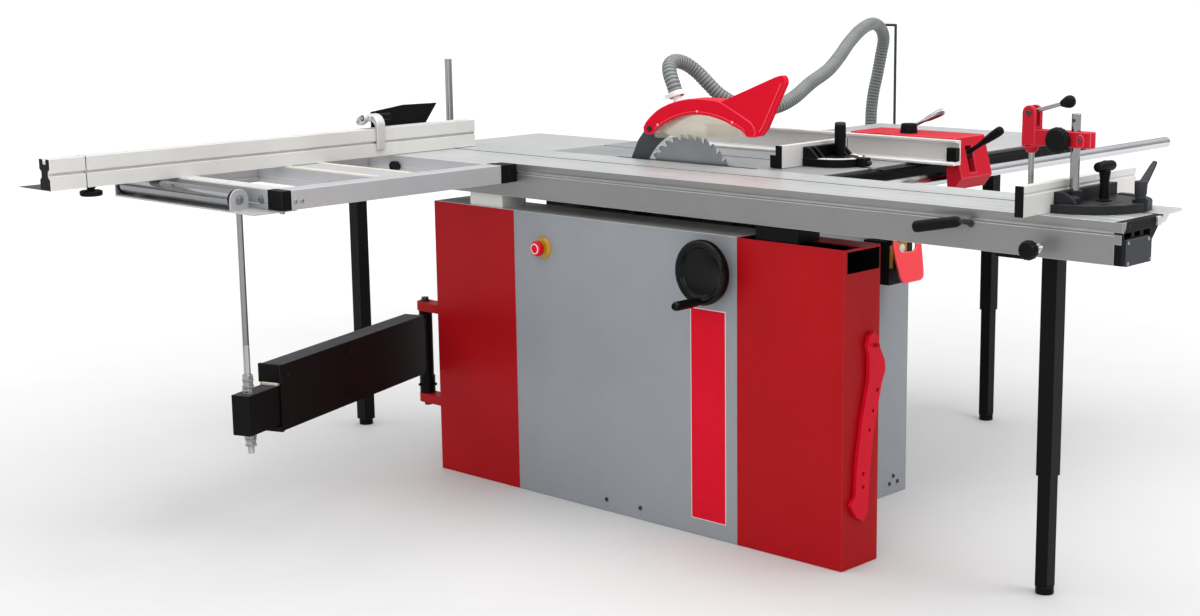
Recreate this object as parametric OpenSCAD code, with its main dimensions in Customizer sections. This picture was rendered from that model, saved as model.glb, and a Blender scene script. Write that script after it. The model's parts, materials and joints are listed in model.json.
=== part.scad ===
// Sliding table saw, all lengths in millimetres.
// X runs along the feed, positive towards the operator's end. Y runs from the sliding table to the
// rip fence side. Z is up. The origin is on the floor under the middle of the cabinet.

/* [Cabinet] */
// length of the front housing along the feed
housing_len = 1353; // [1330:1:1380]
// depth of the front housing
housing_depth = 132; // [125:1:135]
// height of the front housing
housing_h = 727.6; // [715:0.1:730]
// length of each red end housing
red_end_len = 306; // [300:1:308]
// depth of the whole cabinet, front housing and rear cabinet together
base_depth = 646.5; // [640:0.5:660]
// length of the rear cabinet along the feed
cabinet_len = 778; // [770:1:790]
// sheet thickness of the housings and the rear cabinet
sheet = 2.5; // [1.5:0.1:4]

/* [Tables] */
// height of every working surface above the floor
table_h = 850; // [848:0.5:856]
// plate thickness of the cast main table
table_plate = 14; // [10:1:16]
// depth of the rims under the main table
table_rim = 54; // [54:1:58]
// length of the main table along the feed
main_len = 910; // [900:1:920]
// width of the main table
main_w = 543; // [540:1:550]
// length of the side extension table along the feed
side_len = 700; // [660:1:740]
// width of the side extension table
side_w = 637; // [600:1:640]
// length of the outfeed table along the feed
outfeed_len = 390; // [360:1:400]
// width of the outfeed table
outfeed_w = 328; // [300:1:340]
// plate thickness of the sheet steel extension tables
extension_plate = 5; // [4:1:8]

/* [Sliding table] */
// length of the sliding table
slide_len = 2126; // [2110:1:2140]
// width of the sliding table
slide_w = 270; // [268:1:271]
// thickness of the sliding table's top
slide_top = 22; // [21:0.5:23]
// height of the near skirt, top included
skirt_h = 85; // [82:1:88]
// length of the fixed beam under the sliding table
beam_len = 2640; // [2600:1:2660]

/* [Outrigger and fences] */
// length of the outrigger frame square to the feed
frame_reach = 716; // [700:1:722]
// width of the outrigger frame along the feed
frame_w = 570; // [566:1:580]
// height of the frame's profile
frame_h = 45; // [40:1:48]
// radius of the end roller
roller_r = 21; // [18:0.5:22]
// length of the crosscut fence without its extension
fence_len = 1186; // [1150:1:1190]
// height of the crosscut fence
fence_h = 72; // [68:1:76]
// thickness of the crosscut fence
fence_t = 44; // [42:1:46]
// length of the mitre fence bar
bar_len = 435; // [420:1:440]
// height of the mitre fence bar
bar_h = 61; // [58:1:64]

/* [Saw unit] */
// diameter of the saw blade
blade_d = 315; // [308:1:316]
// number of teeth on the saw blade
tooth_count = 36; // [24:1:48]
// thickness of the saw blade
blade_t = 3.2; // [2.6:0.1:3.4]
// height of the blade's top above the table
blade_rise = 70; // [66:1:72]
// radius of the motor
motor_r = 75; // [65:1:78]

/* [Hidden] */
$fn = 48;

// clearances and overruns
fit = 0.3;
shaft_fit = 0.05;
over = 1;

// cabinet faces
front_y = -base_depth / 2;
back_y = base_depth / 2;
joint_y = front_y + housing_depth;
housing_x = housing_len / 2;
left_seam_x = -housing_x + red_end_len;
right_seam_x = housing_x - red_end_len;
cabinet_x = cabinet_len / 2;
cabinet_h = table_h - table_rim;

// round spots on the front panel
wheel_in = 68.5;
wheel_x = right_seam_x - wheel_in;
wheel_z = 645;
wheel_r = 76;
wheel_rim_w = 20;
wheel_rim_d = 26;
wheel_web = 8;
wheel_out = 42;
wheel_y = front_y - wheel_out;
wheel_shaft_r = 9;
wheel_hub_r = 24;
wheel_dish = 6;
wheel_grip_r = 11;
wheel_grip_len = 96;
wheel_shaft_in = 60;
estop_in = 107.5;
estop_x = left_seam_x + estop_in;
estop_z = 643;
estop_r = 19;
estop_stem_r = 8;
estop_gap = 17;
estop_cap = 16;

// hooks and openings of the red end housings
ledge_w = 66;
recess_near = 12;
recess_h = 48;
recess_drop = 6;
peg_y = -224;
peg_z = 505;
peg_r = 4;
peg_len = 24;

// swing arm hinge
hinge_out = 98.5;
hinge_x = -housing_x - hinge_out;
hinge_y = -283;
hinge_pin_r = 8;
bracket_r = 22;
low_bracket_z = 165;
high_bracket_z = 418;
bracket_t = 24;

// tables
main_x1 = 415;
main_x0 = main_x1 - main_len;
main_y0 = -66;
main_y1 = main_y0 + main_w;
rim_t = 12;
blade_y = -54;
throat_x0 = -262;
throat_x1 = 212;
throat_y1 = -47;
gauge_slot_y = 124;
gauge_slot_w = 19;
gauge_slot_d = 10;
rib_y = [190, 330];
lug_x0 = 300;
lug_x1 = 312;
lug_r = 130;
side_y1 = main_y1 + side_w;
side_x0 = main_x1 - side_len;
outfeed_x0 = main_x0 - outfeed_len;
fold_t = 4;
fold_h = 45;

// rip fence rail
bar_face = 8;
bar_flange = 30;
bar_drop = 4;
bar_face_h = 48;
bar_top_z = table_h - bar_drop;
bar_low_z = bar_top_z - bar_face_h;
rail_out = 60;
rail_drop = 40;
rail_x = main_x1 + rail_out;
rail_z = table_h - rail_drop;
rail_r = 15;
rail_y0 = -25;
rail_y1 = 1465;
stud_r = 7;
stud_y = [60, 560, 1060];

// sliding table section
slide_x1 = 1336;
slide_x0 = slide_x1 - slide_len;
slide_out = 19;
slide_y0 = front_y - slide_out;
slide_y1 = slide_y0 + slide_w;
skirt_t = 7;
lip_step = 3;
far_web_in = 127;
far_web_h = 40;
edge_cut = 9;
slot_y = -183;
slot_neck = 12;
slot_neck_d = 8;
slot_head = 24;
slot_head_d = 10;
cap_t = 18;
cap_w = 111;
cap_web = 8;
cap_gusset_w = 51;
cap_gusset_h = 52;
under_z = table_h - slide_top;
skirt_z = table_h - skirt_h;

// fixed beam and legs
beam_x1 = 1350;
beam_x0 = beam_x1 - beam_len;
beam_in = 26;
beam_w = 82;
beam_below = 4;
guide_h = 12;
beam_y0 = slide_y0 + beam_in;
beam_y1 = beam_y0 + beam_w;
beam_z0 = skirt_z - beam_below;
beam_z1 = under_z - guide_h;
beam_wall = 5;
guide_in = 18;
guide_w = 12;
pad_x = [-480, 480];
pad_len = 120;
leg_w = 37;
leg_inner_w = 31;
leg_wall = 2.5;
leg_foot_r = 20;
leg_foot_h = 16;
beam_leg_y = -143;
leg_a_in = 262;
leg_c_in = 62;
leg_a = [beam_x1 - leg_a_in, beam_leg_y];
leg_b = [130, 1090];
leg_c = [beam_x0 + leg_c_in, beam_leg_y];
leg_a_low = 262;
leg_b_low = 330;
leg_overlap = 240;
leg_plate_t = 8;
leg_plate_w = 70;
leg_plate_in = 24;
leg_plate_y1 = beam_leg_y + leg_plate_in;
leg_stem_r = 7;

// outrigger frame
frame_x1 = -335;
frame_x0 = frame_x1 - frame_w;
frame_y1 = slide_y0;
frame_y0 = frame_y1 - frame_reach;
frame_z0 = table_h - frame_h;
member_w = 55;
member_wall = 3;
mid_y0 = -753;
mid_y1 = -623;
frame_cap = 26;
plate_t = 4;
plate_x1 = -300;
plate_y0 = -1130;
plate_y1 = -1010;
tab_t = 4;
roller_x0 = -904;
roller_x1 = -438;
roller_y = -1104;
roller_below = 1;
roller_side_gap = 1;
roller_z = table_h - roller_r - roller_below;
axle_r = 5;
axle_end = 2;
tab_half = 21;

// crosscut fence
fence_x1 = -743;
fence_x0 = fence_x1 - fence_t;
fence_y1 = -114;
fence_y0 = fence_y1 - fence_len;
fence_gap = 1;
fence_z0 = table_h + fence_gap;
fence_z1 = fence_z0 + fence_h;
fence_wall = 3;
fence_face = 8;
fence_slot_z = fence_z0 + fence_h / 2;
fence_slot_h = 8;
fence_slot_d = 4;
fence_pin = [-765, slot_y];
pin_r = 5.9;
extension_out = 93;
extension_in = 640;
extension_plate_x0 = -880;
extension_plate_len = 86;
extension_plate_t = 3;
post_left = [-822, -134];
post_r = 10;
post_top = 1085;
post_arm_z = 905;
post_arm_h = 14;
stop_y0 = -478;
stop_y1 = -428;
stop_t = 8;
stop_axis = [-770, 950];
stop_pin_r = 4;
stop_lug_r = 9;
stop_flap_x = -800;
stop_flap_t = 4;
stop_flap_knuckle = 40;
stop_flap_y0 = stop_y1 + fit;
stop_flap_outline = [[stop_flap_y0, 918], [stop_flap_y0, 962], [-318, 974], [-201, 972], [-246, 916]];

// mitre fence on the sliding table
mitre_pivot = [1222, slot_y];
mitre_bar_x1 = 1171;
mitre_bar_t = 18;
mitre_bar_y0 = -403;
mitre_wall_t = 14;
mitre_wall_h = 40;
mitre_wall_half = 112;
mitre_r = 125;
mitre_t = 15.5;
mitre_y = -178;
mitre_lift = 0.5;
mitre_z0 = table_h + mitre_lift;
mitre_stem_r = 6;
mitre_knob_z = 936;
mitre_knob_r = 10;
mitre_knob_half = 33;
mitre_nut_half = 13;
mitre_lever_spot = [1296, -170];
mitre_lever_r = 10;
mitre_lever_h = 26;
mitre_lever_len = 66;
mitre_lever_angle = 42;
mitre_arm_r = 6;
mitre_spacer_h = 8;
mitre_sleeve = 3;
mitre_nut_gap = 0.9;
post_spot = [1187, -240];
clamp_post_r = 9.5;
clamp_boss_r = 16;
clamp_boss_h = 24;
clamp_post_top = 1043;

// hold-down clamp
arm_z0 = 974;
arm_z1 = 1008;
arm_half = 15;
arm_x0 = 1072;
arm_x1 = 1240;
plunger_x = 1086;
plunger_r = 6;
plunger_foot_r = 14;
plunger_z0 = 868;
plunger_foot_h = 8;
plunger_z1 = 1004;
boss_r = 17;
boss_z0 = 960;
lug_top = 1042;
lug_gap = 6;
lug_pin_r = 4;
lever_len = 83;
lever_rise = 24;
lever_r = 4;
ball_r = 13;
clamp_knob_x = 1160;
clamp_knob_z = 990;
clamp_knob_r = 24;
clamp_knob_t = 14;
clamp_screw_r = 5;
clamp_knob_gap = 1.2;
lever_boss_r = 10;

// mitre gauge on the main table
gauge_pivot = [308, gauge_slot_y];
gauge_bar_x0 = 148;
gauge_bar_x1 = 428;
gauge_r = 74;
gauge_t = 12;
gauge_wall_t = 12;
gauge_wall_h = 44;
gauge_wall_half = 62;
gauge_fence_t = 20;
gauge_fence_y0 = -30;
gauge_fence_y1 = 230;
gauge_fence_h = 52;
gauge_face_x = 262;
gauge_handle = [300, 151];
gauge_handle_r = 14;
gauge_handle_top = 953;
gauge_pin_r = 6;
gauge_pin_head = 11;
gauge_head_h = 3;
gauge_head_gap = 1;

// rip fence
profile_x0 = -260;
profile_x1 = 555;
profile_y1 = 297;
profile_t = 12;
profile_flange = 30;
profile_h = 60;
profile_foot = 7;
profile_lip = 6;
saddle_x0 = 220;
saddle_x1 = 560;
saddle_y0 = profile_y1 + fit;
saddle_y1 = 430;
saddle_gap = 2;
saddle_rise = 65;
saddle_z0 = table_h + saddle_gap;
saddle_z1 = table_h + saddle_rise;
saddle_front_x = 494;
saddle_low_z = 788;
saddle_low_cut = 22;
saddle_crease_z = 818;
saddle_lean = 26;
saddle_pad_half = 12;
lever_slot_y = [337, 365];
lever_slot_z = [828, 893];
lever_slot_d = 46;
rip_lever_pivot = [534, 351, 872];
rip_lever_boss = 10;
rip_lever_len = 122;
rip_lever_angle = 33;
rip_lever_r = 5;
rip_grip_r = 11;
rip_grip_len = 68;
rip_hub = [366, 346];
rip_hub_r = 22;
rip_hub_top_r = 19;
rip_hub_h = 24;
rip_arm_len = 98;
rip_arm_turn = 45;
rip_arm_r = 5;
rip_arm_grip_r = 8;
rip_arm_tilt = 25;

// table lock and push handle
lock_x = 1175;
lock_drop = 65;
lock_z = table_h - lock_drop;
lock_r = 20;
lock_out = 54;
lock_head = 22;
lock_y0 = slide_y0 - lock_out;
lock_y1 = lock_y0 + lock_head;
lock_stem_r = 5;
handle_x0 = 885;
handle_x1 = 1002;
handle_out = 31;
handle_drop = 41;
handle_y = slide_y0 - handle_out;
handle_z = table_h - handle_drop;
handle_r = 12.5;
handle_arm_r = 8;

// main switch
switch_y0 = 132;
switch_y1 = 228;
switch_z0 = 566;
switch_z1 = 672;
switch_x1 = 466;
flap_axis = [475, 682];
flap_pin_r = 3;
flap_ear_r = 7;
flap_ear_w = 10;
flap_plate_t = 4;
flap_plate_in = 1.5;
flap_drop = 112;
flap_over = 8;
flap_tilt = 12;
flap_notch = 34;

// push stick outline on the housing's end face, as Y and Z
stick_t = 10;
stick_gap = 2;
stick_x0 = housing_x + stick_gap;
stick_hole_r = 4.5;
stick_outline = [
    [-243, 528], [-226, 536], [-211, 522], [-203, 495], [-186, 466], [-183, 442], [-197, 412],
    [-226, 300], [-239, 190], [-243, 128], [-258, 106], [-284, 120], [-306, 153], [-288, 168],
    [-284, 240], [-266, 340], [-243, 430], [-243, 480], [-251, 508]
];
stick_holes = [[-212, 401], [-227, 356], [-239, 314], [-261, 217], [-261, 186]];
stick_small_r = 5;

// swing arm
column_x = -495;
column_y = -1063;
arm_angle = atan2(column_x - hinge_x, hinge_y - column_y);
arm_len = norm([column_x - hinge_x, column_y - hinge_y]);
arm_w = 58;
arm_box_z0 = 255;
arm_box_z1 = 415;
arm_wall = 3;
arm_start = 60;
arm_stop = 738;
arm_post_r = 18;
arm_collar_r = 21;
arm_collar_z = 236;
arm_neck = 20;
tube_w = 48;
tube_z0 = 270;
tube_z1 = 366;
tube_wall = 4;
tube_in = 560;
tube_out = 34;
column_r = 7.5;
hinge_pin_end = 3;
column_z0 = 245;
nut_r = 14;
nut_h = 12;
column_top = frame_z0 - plate_t - fit;

// saw unit
blade_r = blade_d / 2;
arbor_x = -12;
arbor_z = table_h + blade_rise - blade_r;
arbor_r = 15;
arbor_y0 = -72;
arbor_y1 = 94;
bore_r = arbor_r;
flange_r = 34;
flange_t = 6;
housing_r = 33;
housing_y0 = -28;
housing_y1 = 62;
pulley_y0 = 66;
pulley_y1 = 92;
pulley_r = 37;
motor_pulley_r = 45;
motor_z = 560;
motor_face_y = 104;
motor_plate_t = 8;
motor_y1 = 298;
motor_plate_half = 60;
motor_shaft_r = 12;
motor_shaft_in = 30;
belt_t = 4;
belt_side = 2;
pivot_z = table_h;
trunnion_r = 165;
trunnion_y0 = 10;
trunnion_y1 = 22;
trunnion_low = 440;
trunnion_high = 722;
trunnion_gap0 = -135;
trunnion_gap1 = 115;
trunnion_bridge = 25;
trunnion_angle = 80;
carriage_x0 = -165;
carriage_x1 = 145;
carriage_y0 = -6;
carriage_z0 = 510;
carriage_z1 = 712;
carriage_arm_t = 15;
carriage_arm_z = [515, 605];
neck_half = 36;
knife_t = 3;
knife_gap = 7;
knife_low = 690;
knife_bracket_x0 = -214;
knife_bracket_x1 = -176;
blade_clear = 3;
knife_slot_x = [-150, -98];
knife_slot_z = [900, 936];
knife_bracket_z = [700, 742];
knife_outline = [
    [-205, knife_low], [-212, 848], [-188, 895], [-168, 918], [-146, 932], [-112, 932], [-60, 900],
    [-120, 800], [-150, knife_low]
];
guard_bolt = [-124, 926];
guard_bolt_r = 4;

// blade guard
hood_half = 27;
hood_wall = 3;
hood_tail = 18;
hood_tail_x = [140, 200];
hood_outline = [
    [-131, 914], [-146, 921], [-144, 934], [-127, 954], [-97, 977], [-61, 993], [-22, 1004], [16, 1010],
    [66, 1011], [109, 1008], [294, 1077], [308, 1079], [317, 1073], [316, 1057], [259, 946], [250, 935],
    [236, 927], [194, 926], [182, 938], [152, 950], [115, 962], [72, 970], [34, 971], [3, 968],
    [-36, 958], [-81, 939], [-117, 914]
];
hood_cavity = [
    [-128, 905], [-140, 932], [-124, 951], [-95, 973], [-60, 989], [-21, 1000], [16, 1006], [66, 1007],
    [108, 1004], [136, 992], [136, 940], [60, 966], [0, 963],
    [-60, 942], [-100, 905]
];
port_r = 13.4;
port_lean = -23;
port_len = 54;
port_base = [-43, blade_y, 986];

// ribbed hose and its hook
hose_r = 18.5;
hose_valley = 16.2;
hose_bore = 15.2;
hose_ribs = 170;
hose_sides = 8;
hose_core_rings = 90;
hose_route = [
    [-54, -54, 1013], [-66, -54, 1041], [-84, -47, 1068], [-101, -28, 1087], [-108, 2, 1095],
    [-104, 37, 1086], [-88, 62, 1064], [-65, 77, 1036], [-43, 92, 1010], [-13, 117, 986],
    [21, 152, 974], [38, 192, 971], [44, 237, 977], [33, 307, 993], [4, 407, 1021], [-24, 517, 1048],
    [-62, 617, 1078], [-113, 727, 1110], [-170, 857, 1140], [-233, 997, 1152], [-274, 1093, 1135],
    [-298, 1143, 1101], [-316, 1155, 1050], [-331, 1158, 990], [-346, 1158, 926], [-353, 1158, 850],
    [-352, 1158, 700], [-345, 1145, 560], [-330, 1090, 450], [-300, 980, 380], [-260, 800, 350],
    [-225, 620, 370], [-212, 480, 402], [-210, 395, 415], [-210, 330, 415]
];
port_low_x = -210;
port_low_z = 415;
port_low_len = 34;
port_low_r = 13.5;
hook_r = 4;
hook_x = -246;
hook_y = 1132;
hook_low = 770;
hook_top = 1143;
hook_end_x = -300;
hook_bracket_half = 12;
hook_bracket_z = 812;
hook_bracket_h = 26;

// a box between two corners
module block(lo, hi) {
    translate(lo) cube(hi - lo);
}

// round bars along the three axes
module rod_x(x0, x1, y, z, r) {
    translate([x0, y, z]) rotate([0, 90, 0]) cylinder(h = x1 - x0, r = r);
}

module rod_y(y0, y1, x, z, r) {
    translate([x, y0, z]) rotate([-90, 0, 0]) cylinder(h = y1 - y0, r = r);
}

module rod_z(z0, z1, spot, r) {
    translate([spot[0], spot[1], z0]) cylinder(h = z1 - z0, r = r);
}

// a flat shape drawn as Y and Z, drawn out along X
module along_x(x0, x1) {
    translate([x0, 0, 0]) rotate([90, 0, 90]) linear_extrude(height = x1 - x0) children();
}

// a flat shape drawn as X and Z, drawn out along Y
module along_y(y0, y1) {
    translate([0, y1, 0]) rotate([90, 0, 0]) linear_extrude(height = y1 - y0) children();
}

// a flat shape drawn as X and Y, drawn out along Z
module along_z(z0, z1) {
    translate([0, 0, z0]) linear_extrude(height = z1 - z0) children();
}

// a sheet table with its edges folded down
module folded_table(lo, hi, drop) {
    difference() {
        block([lo[0], lo[1], table_h - drop], [hi[0], hi[1], table_h]);
        block([lo[0] + fold_t, lo[1] + fold_t, table_h - drop - over],
              [hi[0] - fold_t, hi[1] - fold_t, table_h - extension_plate]);
    }
}

// a rectangular tube along Y or X, given by its corners and wall
module tube_y(lo, hi, wall) {
    difference() {
        block(lo, hi);
        block([lo[0] + wall, lo[1] - over, lo[2] + wall], [hi[0] - wall, hi[1] + over, hi[2] - wall]);
    }
}

module tube_x(lo, hi, wall) {
    difference() {
        block(lo, hi);
        block([lo[0] - over, lo[1] + wall, lo[2] + wall], [hi[0] + over, hi[1] - wall, hi[2] - wall]);
    }
}

module square_leg(spot, w, z0, z1) {
    half = w / 2;
    difference() {
        block([spot[0] - half, spot[1] - half, z0], [spot[0] + half, spot[1] + half, z1]);
        block([spot[0] - half + leg_wall, spot[1] - half + leg_wall, z0 - over],
              [spot[0] + half - leg_wall, spot[1] + half - leg_wall, z1 - leg_wall]);
    }
}

// the arm's own frame, with the arm running along its negative Y
module in_arm() {
    translate([hinge_x, hinge_y, 0]) rotate([0, 0, arm_angle]) children();
}

module arm_bracket(z0) {
    difference() {
        union() {
            rod_z(z0, z0 + bracket_t, [hinge_x, hinge_y], bracket_r);
            block([hinge_x, hinge_y - bracket_r, z0], [-housing_x, hinge_y + bracket_r, z0 + bracket_t]);
        }
        rod_z(z0 - over, z0 + bracket_t + over, [hinge_x, hinge_y], hinge_pin_r + shaft_fit);
    }
}

module left_housing() {
    color("firebrick") {
        difference() {
            block([-housing_x, front_y, 0], [left_seam_x, joint_y, housing_h]);
            block([-housing_x + sheet, front_y + sheet, -over],
                  [left_seam_x - sheet, joint_y - sheet, housing_h - sheet]);
        }
        arm_bracket(low_bracket_z);
        arm_bracket(high_bracket_z);
    }
}

module centre_housing() {
    color("slategray") difference() {
        block([left_seam_x, front_y, 0], [right_seam_x, joint_y, housing_h]);
        block([left_seam_x + sheet, front_y + sheet, -over],
              [right_seam_x - sheet, joint_y + over, housing_h - sheet]);
        rod_y(front_y - over, front_y + sheet + over, wheel_x, wheel_z, wheel_shaft_r + shaft_fit);
        rod_y(front_y - over, front_y + sheet + over, estop_x, estop_z, estop_stem_r + shaft_fit);
    }
}

module right_housing() {
    color("firebrick") {
        difference() {
            block([right_seam_x, front_y, 0], [housing_x, joint_y, housing_h]);
            block([right_seam_x + sheet, front_y + sheet, -over],
                  [housing_x - sheet, joint_y - sheet, housing_h - sheet]);
            block([right_seam_x + sheet, front_y + sheet, housing_h - sheet - over],
                  [housing_x - sheet, joint_y - ledge_w, housing_h + over]);
            block([housing_x - sheet - over, front_y + recess_near, housing_h - recess_drop - recess_h],
                  [housing_x + over, joint_y - sheet, housing_h - recess_drop]);
        }
        rod_x(housing_x - sheet, housing_x + peg_len, peg_y, peg_z, peg_r);
    }
}

module rear_cabinet() {
    color("slategray") {
        difference() {
            block([-cabinet_x, joint_y, 0], [cabinet_x, back_y, cabinet_h]);
            block([-cabinet_x + sheet, joint_y - over, sheet],
                  [cabinet_x - sheet, back_y - sheet, cabinet_h + over]);
            rod_y(back_y - sheet - over, back_y + over, port_low_x, port_low_z, port_low_r - sheet);
        }
        difference() {
            rod_y(back_y - sheet, back_y + port_low_len, port_low_x, port_low_z, port_low_r);
            rod_y(back_y - sheet - over, back_y + port_low_len + over,
                  port_low_x, port_low_z, port_low_r - sheet);
        }
    }
}

module table_lug(x0, x1) {
    intersection() {
        rod_x(x0, x1, blade_y, pivot_z, lug_r);
        block([x0, blade_y, cabinet_h - lug_r], [x1, blade_y + lug_r, table_h - table_plate]);
    }
}

module main_table() {
    color("lightgray") difference() {
        union() {
            block([main_x0, main_y0, table_h - table_plate], [main_x1, main_y1, table_h]);
            block([main_x0, main_y0, cabinet_h], [main_x0 + rim_t, main_y1, table_h]);
            block([main_x1 - rim_t, main_y0, cabinet_h], [main_x1, main_y1, table_h]);
            block([main_x0, main_y1 - rim_t, cabinet_h], [main_x1, main_y1, table_h]);
            block([-cabinet_x, main_y0, cabinet_h], [-cabinet_x + rim_t, main_y1, table_h]);
            block([cabinet_x - rim_t, main_y0, cabinet_h], [cabinet_x, main_y1, table_h]);
            for (y = rib_y) block([main_x0, y, cabinet_h], [main_x1, y + rim_t, table_h]);
            table_lug(lug_x0, lug_x1);
            table_lug(-lug_x1, -lug_x0);
        }
        block([throat_x0, main_y0 - over, cabinet_h - over], [throat_x1, throat_y1, table_h + over]);
        block([main_x0 - over, gauge_slot_y - gauge_slot_w / 2, table_h - gauge_slot_d],
              [main_x1 + over, gauge_slot_y + gauge_slot_w / 2, table_h + over]);
    }
}

module side_table() {
    color("lightgray") folded_table([side_x0, main_y1], [main_x1, side_y1], fold_h);
}

module outfeed_table() {
    color("lightgray") folded_table([outfeed_x0, main_y0], [main_x0, main_y0 + outfeed_w], fold_h);
}

module front_bar() {
    color("black") difference() {
        union() {
            block([main_x1, main_y0, bar_low_z], [main_x1 + bar_face, side_y1, bar_top_z]);
            block([main_x1, main_y0, bar_top_z - bar_face], [main_x1 + bar_flange, side_y1, bar_top_z]);
        }
        block([main_x1 - over, gauge_slot_y - gauge_slot_w / 2, table_h - gauge_slot_d],
              [main_x1 + bar_flange + over, gauge_slot_y + gauge_slot_w / 2, table_h]);
    }
}

module rip_rail() {
    color("silver") {
        rod_y(rail_y0, rail_y1, rail_x, rail_z, rail_r);
        for (y = stud_y) rod_x(main_x1 + bar_face, rail_x, y, rail_z, stud_r);
    }
}

module leg_plate(spot) {
    half = leg_plate_w / 2;
    block([spot[0] - half, beam_y0, beam_z0 - leg_plate_t], [spot[0] + half, leg_plate_y1, beam_z0]);
}

module rail_beam() {
    color("silver") {
        tube_x([beam_x0, beam_y0, beam_z0], [beam_x1, beam_y1, beam_z1], beam_wall);
        for (x = [beam_x0, beam_x1 - beam_wall])
            block([x, beam_y0, beam_z0], [x + beam_wall, beam_y1, beam_z1]);
        for (y = [beam_y0 + guide_in, beam_y1 - guide_in - guide_w])
            block([beam_x0, y, beam_z1], [beam_x1, y + guide_w, under_z - fit]);
        for (x = pad_x)
            block([x - pad_len / 2, beam_y0, housing_h], [x + pad_len / 2, beam_y1, beam_z0]);
        leg_plate(leg_a);
        leg_plate(leg_c);
    }
}

module leg_tubes() {
    color("black") {
        square_leg(leg_a, leg_w, leg_a_low, beam_z0 - leg_plate_t);
        square_leg(leg_b, leg_w, leg_b_low, table_h - extension_plate);
        square_leg(leg_c, leg_w, leg_foot_h, beam_z0 - leg_plate_t);
        rod_z(0, leg_foot_h, leg_c, leg_foot_r);
    }
}

// the inner tube of a telescopic leg with its foot
module leg_foot(spot, low) {
    square_leg(spot, leg_inner_w, leg_foot_h, low + leg_overlap);
    rod_z(0, leg_foot_h, spot, leg_foot_r);
}

module front_leg_foot() {
    color("black") leg_foot(leg_a, leg_a_low);
}

module side_leg_foot() {
    color("black") leg_foot(leg_b, leg_b_low);
}

// section of the sliding table as Y and Z
module slide_section() {
    difference() {
        polygon([
            [slide_y0, table_h], [slide_y1, table_h], [slide_y1, under_z + edge_cut],
            [slide_y1 - edge_cut, under_z], [slide_y0 + far_web_in, under_z],
            [slide_y0 + far_web_in, under_z - far_web_h],
            [slide_y0 + far_web_in - skirt_t, under_z - far_web_h],
            [slide_y0 + far_web_in - skirt_t, under_z], [slide_y0 + lip_step + skirt_t, under_z],
            [slide_y0 + lip_step + skirt_t, skirt_z], [slide_y0 + lip_step, skirt_z],
            [slide_y0 + lip_step, under_z], [slide_y0, under_z]
        ]);
        translate([slot_y - slot_neck / 2, table_h - slot_neck_d]) square([slot_neck, slot_neck_d + over]);
        translate([slot_y - slot_head / 2, table_h - slot_neck_d - slot_head_d])
            square([slot_head, slot_head_d]);
    }
}

module sliding_table() {
    color("silver") difference() {
        along_x(slide_x0, slide_x1) slide_section();
        rod_y(slide_y0 - over, slide_y0 + lip_step + skirt_t + over, lock_x, lock_z, lock_stem_r + shaft_fit);
    }
}

// a cap over the box side of the sliding table's end
module slide_cap(x0) {
    gusset_y = slide_y0 + cap_w;
    block([x0, slide_y0, under_z], [x0 + cap_t, gusset_y, table_h]);
    block([x0, slide_y0 + lip_step, skirt_z], [x0 + cap_t, slide_y0 + lip_step + skirt_t, under_z]);
    along_x(x0, x0 + cap_t) polygon([
        [gusset_y - cap_web, table_h], [gusset_y + cap_gusset_w, table_h], [gusset_y, table_h - cap_gusset_h],
        [gusset_y, under_z], [gusset_y - cap_web, under_z]
    ]);
}

// a cap on one end of a long outrigger member
module frame_end(x0, y0) {
    block([x0, y0, frame_z0], [x0 + member_w, y0 + frame_cap, table_h]);
}

module end_caps() {
    color("black") {
        slide_cap(slide_x1);
        slide_cap(slide_x0 - cap_t);
        for (x = [frame_x0, frame_x1 - member_w]) {
            frame_end(x, frame_y0);
            frame_end(x, frame_y1 - frame_cap);
        }
    }
}

module push_handle() {
    color("black") {
        rod_x(handle_x0, handle_x1, handle_y, handle_z, handle_r);
        rod_x(handle_x1, handle_x1 + handle_arm_r * 2, handle_y, handle_z, handle_arm_r);
        rod_y(handle_y - handle_arm_r, slide_y0 + lip_step, handle_x1 + handle_arm_r, handle_z, handle_arm_r);
    }
}

module lock_knob() {
    color("black") {
        rod_y(lock_y0, lock_y1, lock_x, lock_z, lock_r);
        rod_y(lock_y1, slide_y0 + lip_step + skirt_t, lock_x, lock_z, lock_stem_r);
    }
}

module outrigger_frame() {
    inner_x0 = frame_x0 + member_w;
    inner_x1 = frame_x1 - member_w;
    color("silver") {
        for (x = [frame_x0, inner_x1])
            tube_y([x, frame_y0 + frame_cap, frame_z0],
                   [x + member_w, frame_y1 - frame_cap, table_h], member_wall);
        tube_x([inner_x0, frame_y0, frame_z0], [inner_x1, frame_y0 + member_w, table_h], member_wall);
        tube_x([inner_x0, mid_y0, frame_z0], [inner_x1, mid_y1, table_h], member_wall);
        tube_x([inner_x0, frame_y1 - member_w, frame_z0], [inner_x1, frame_y1, table_h], member_wall);
    }
}

module roller_tab(x0) {
    difference() {
        union() {
            block([x0, roller_y - tab_half, frame_z0], [x0 + tab_t, roller_y + tab_half, roller_z]);
            rod_x(x0, x0 + tab_t, roller_y, roller_z, tab_half);
        }
        rod_x(x0 - over, x0 + tab_t + over, roller_y, roller_z, axle_r + shaft_fit);
    }
}

module roller_plate() {
    color("lightgray") {
        block([roller_x0 - tab_t - roller_side_gap, plate_y0, frame_z0 - plate_t],
              [plate_x1, plate_y1, frame_z0]);
        roller_tab(roller_x0 - tab_t - roller_side_gap);
        roller_tab(roller_x1 + roller_side_gap);
    }
}

module end_roller() {
    color("silver") {
        rod_x(roller_x0, roller_x1, roller_y, roller_z, roller_r);
        rod_x(roller_x0 - tab_t - roller_side_gap - axle_end, roller_x1 + tab_t + roller_side_gap + axle_end,
              roller_y, roller_z, axle_r);
    }
}

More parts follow.
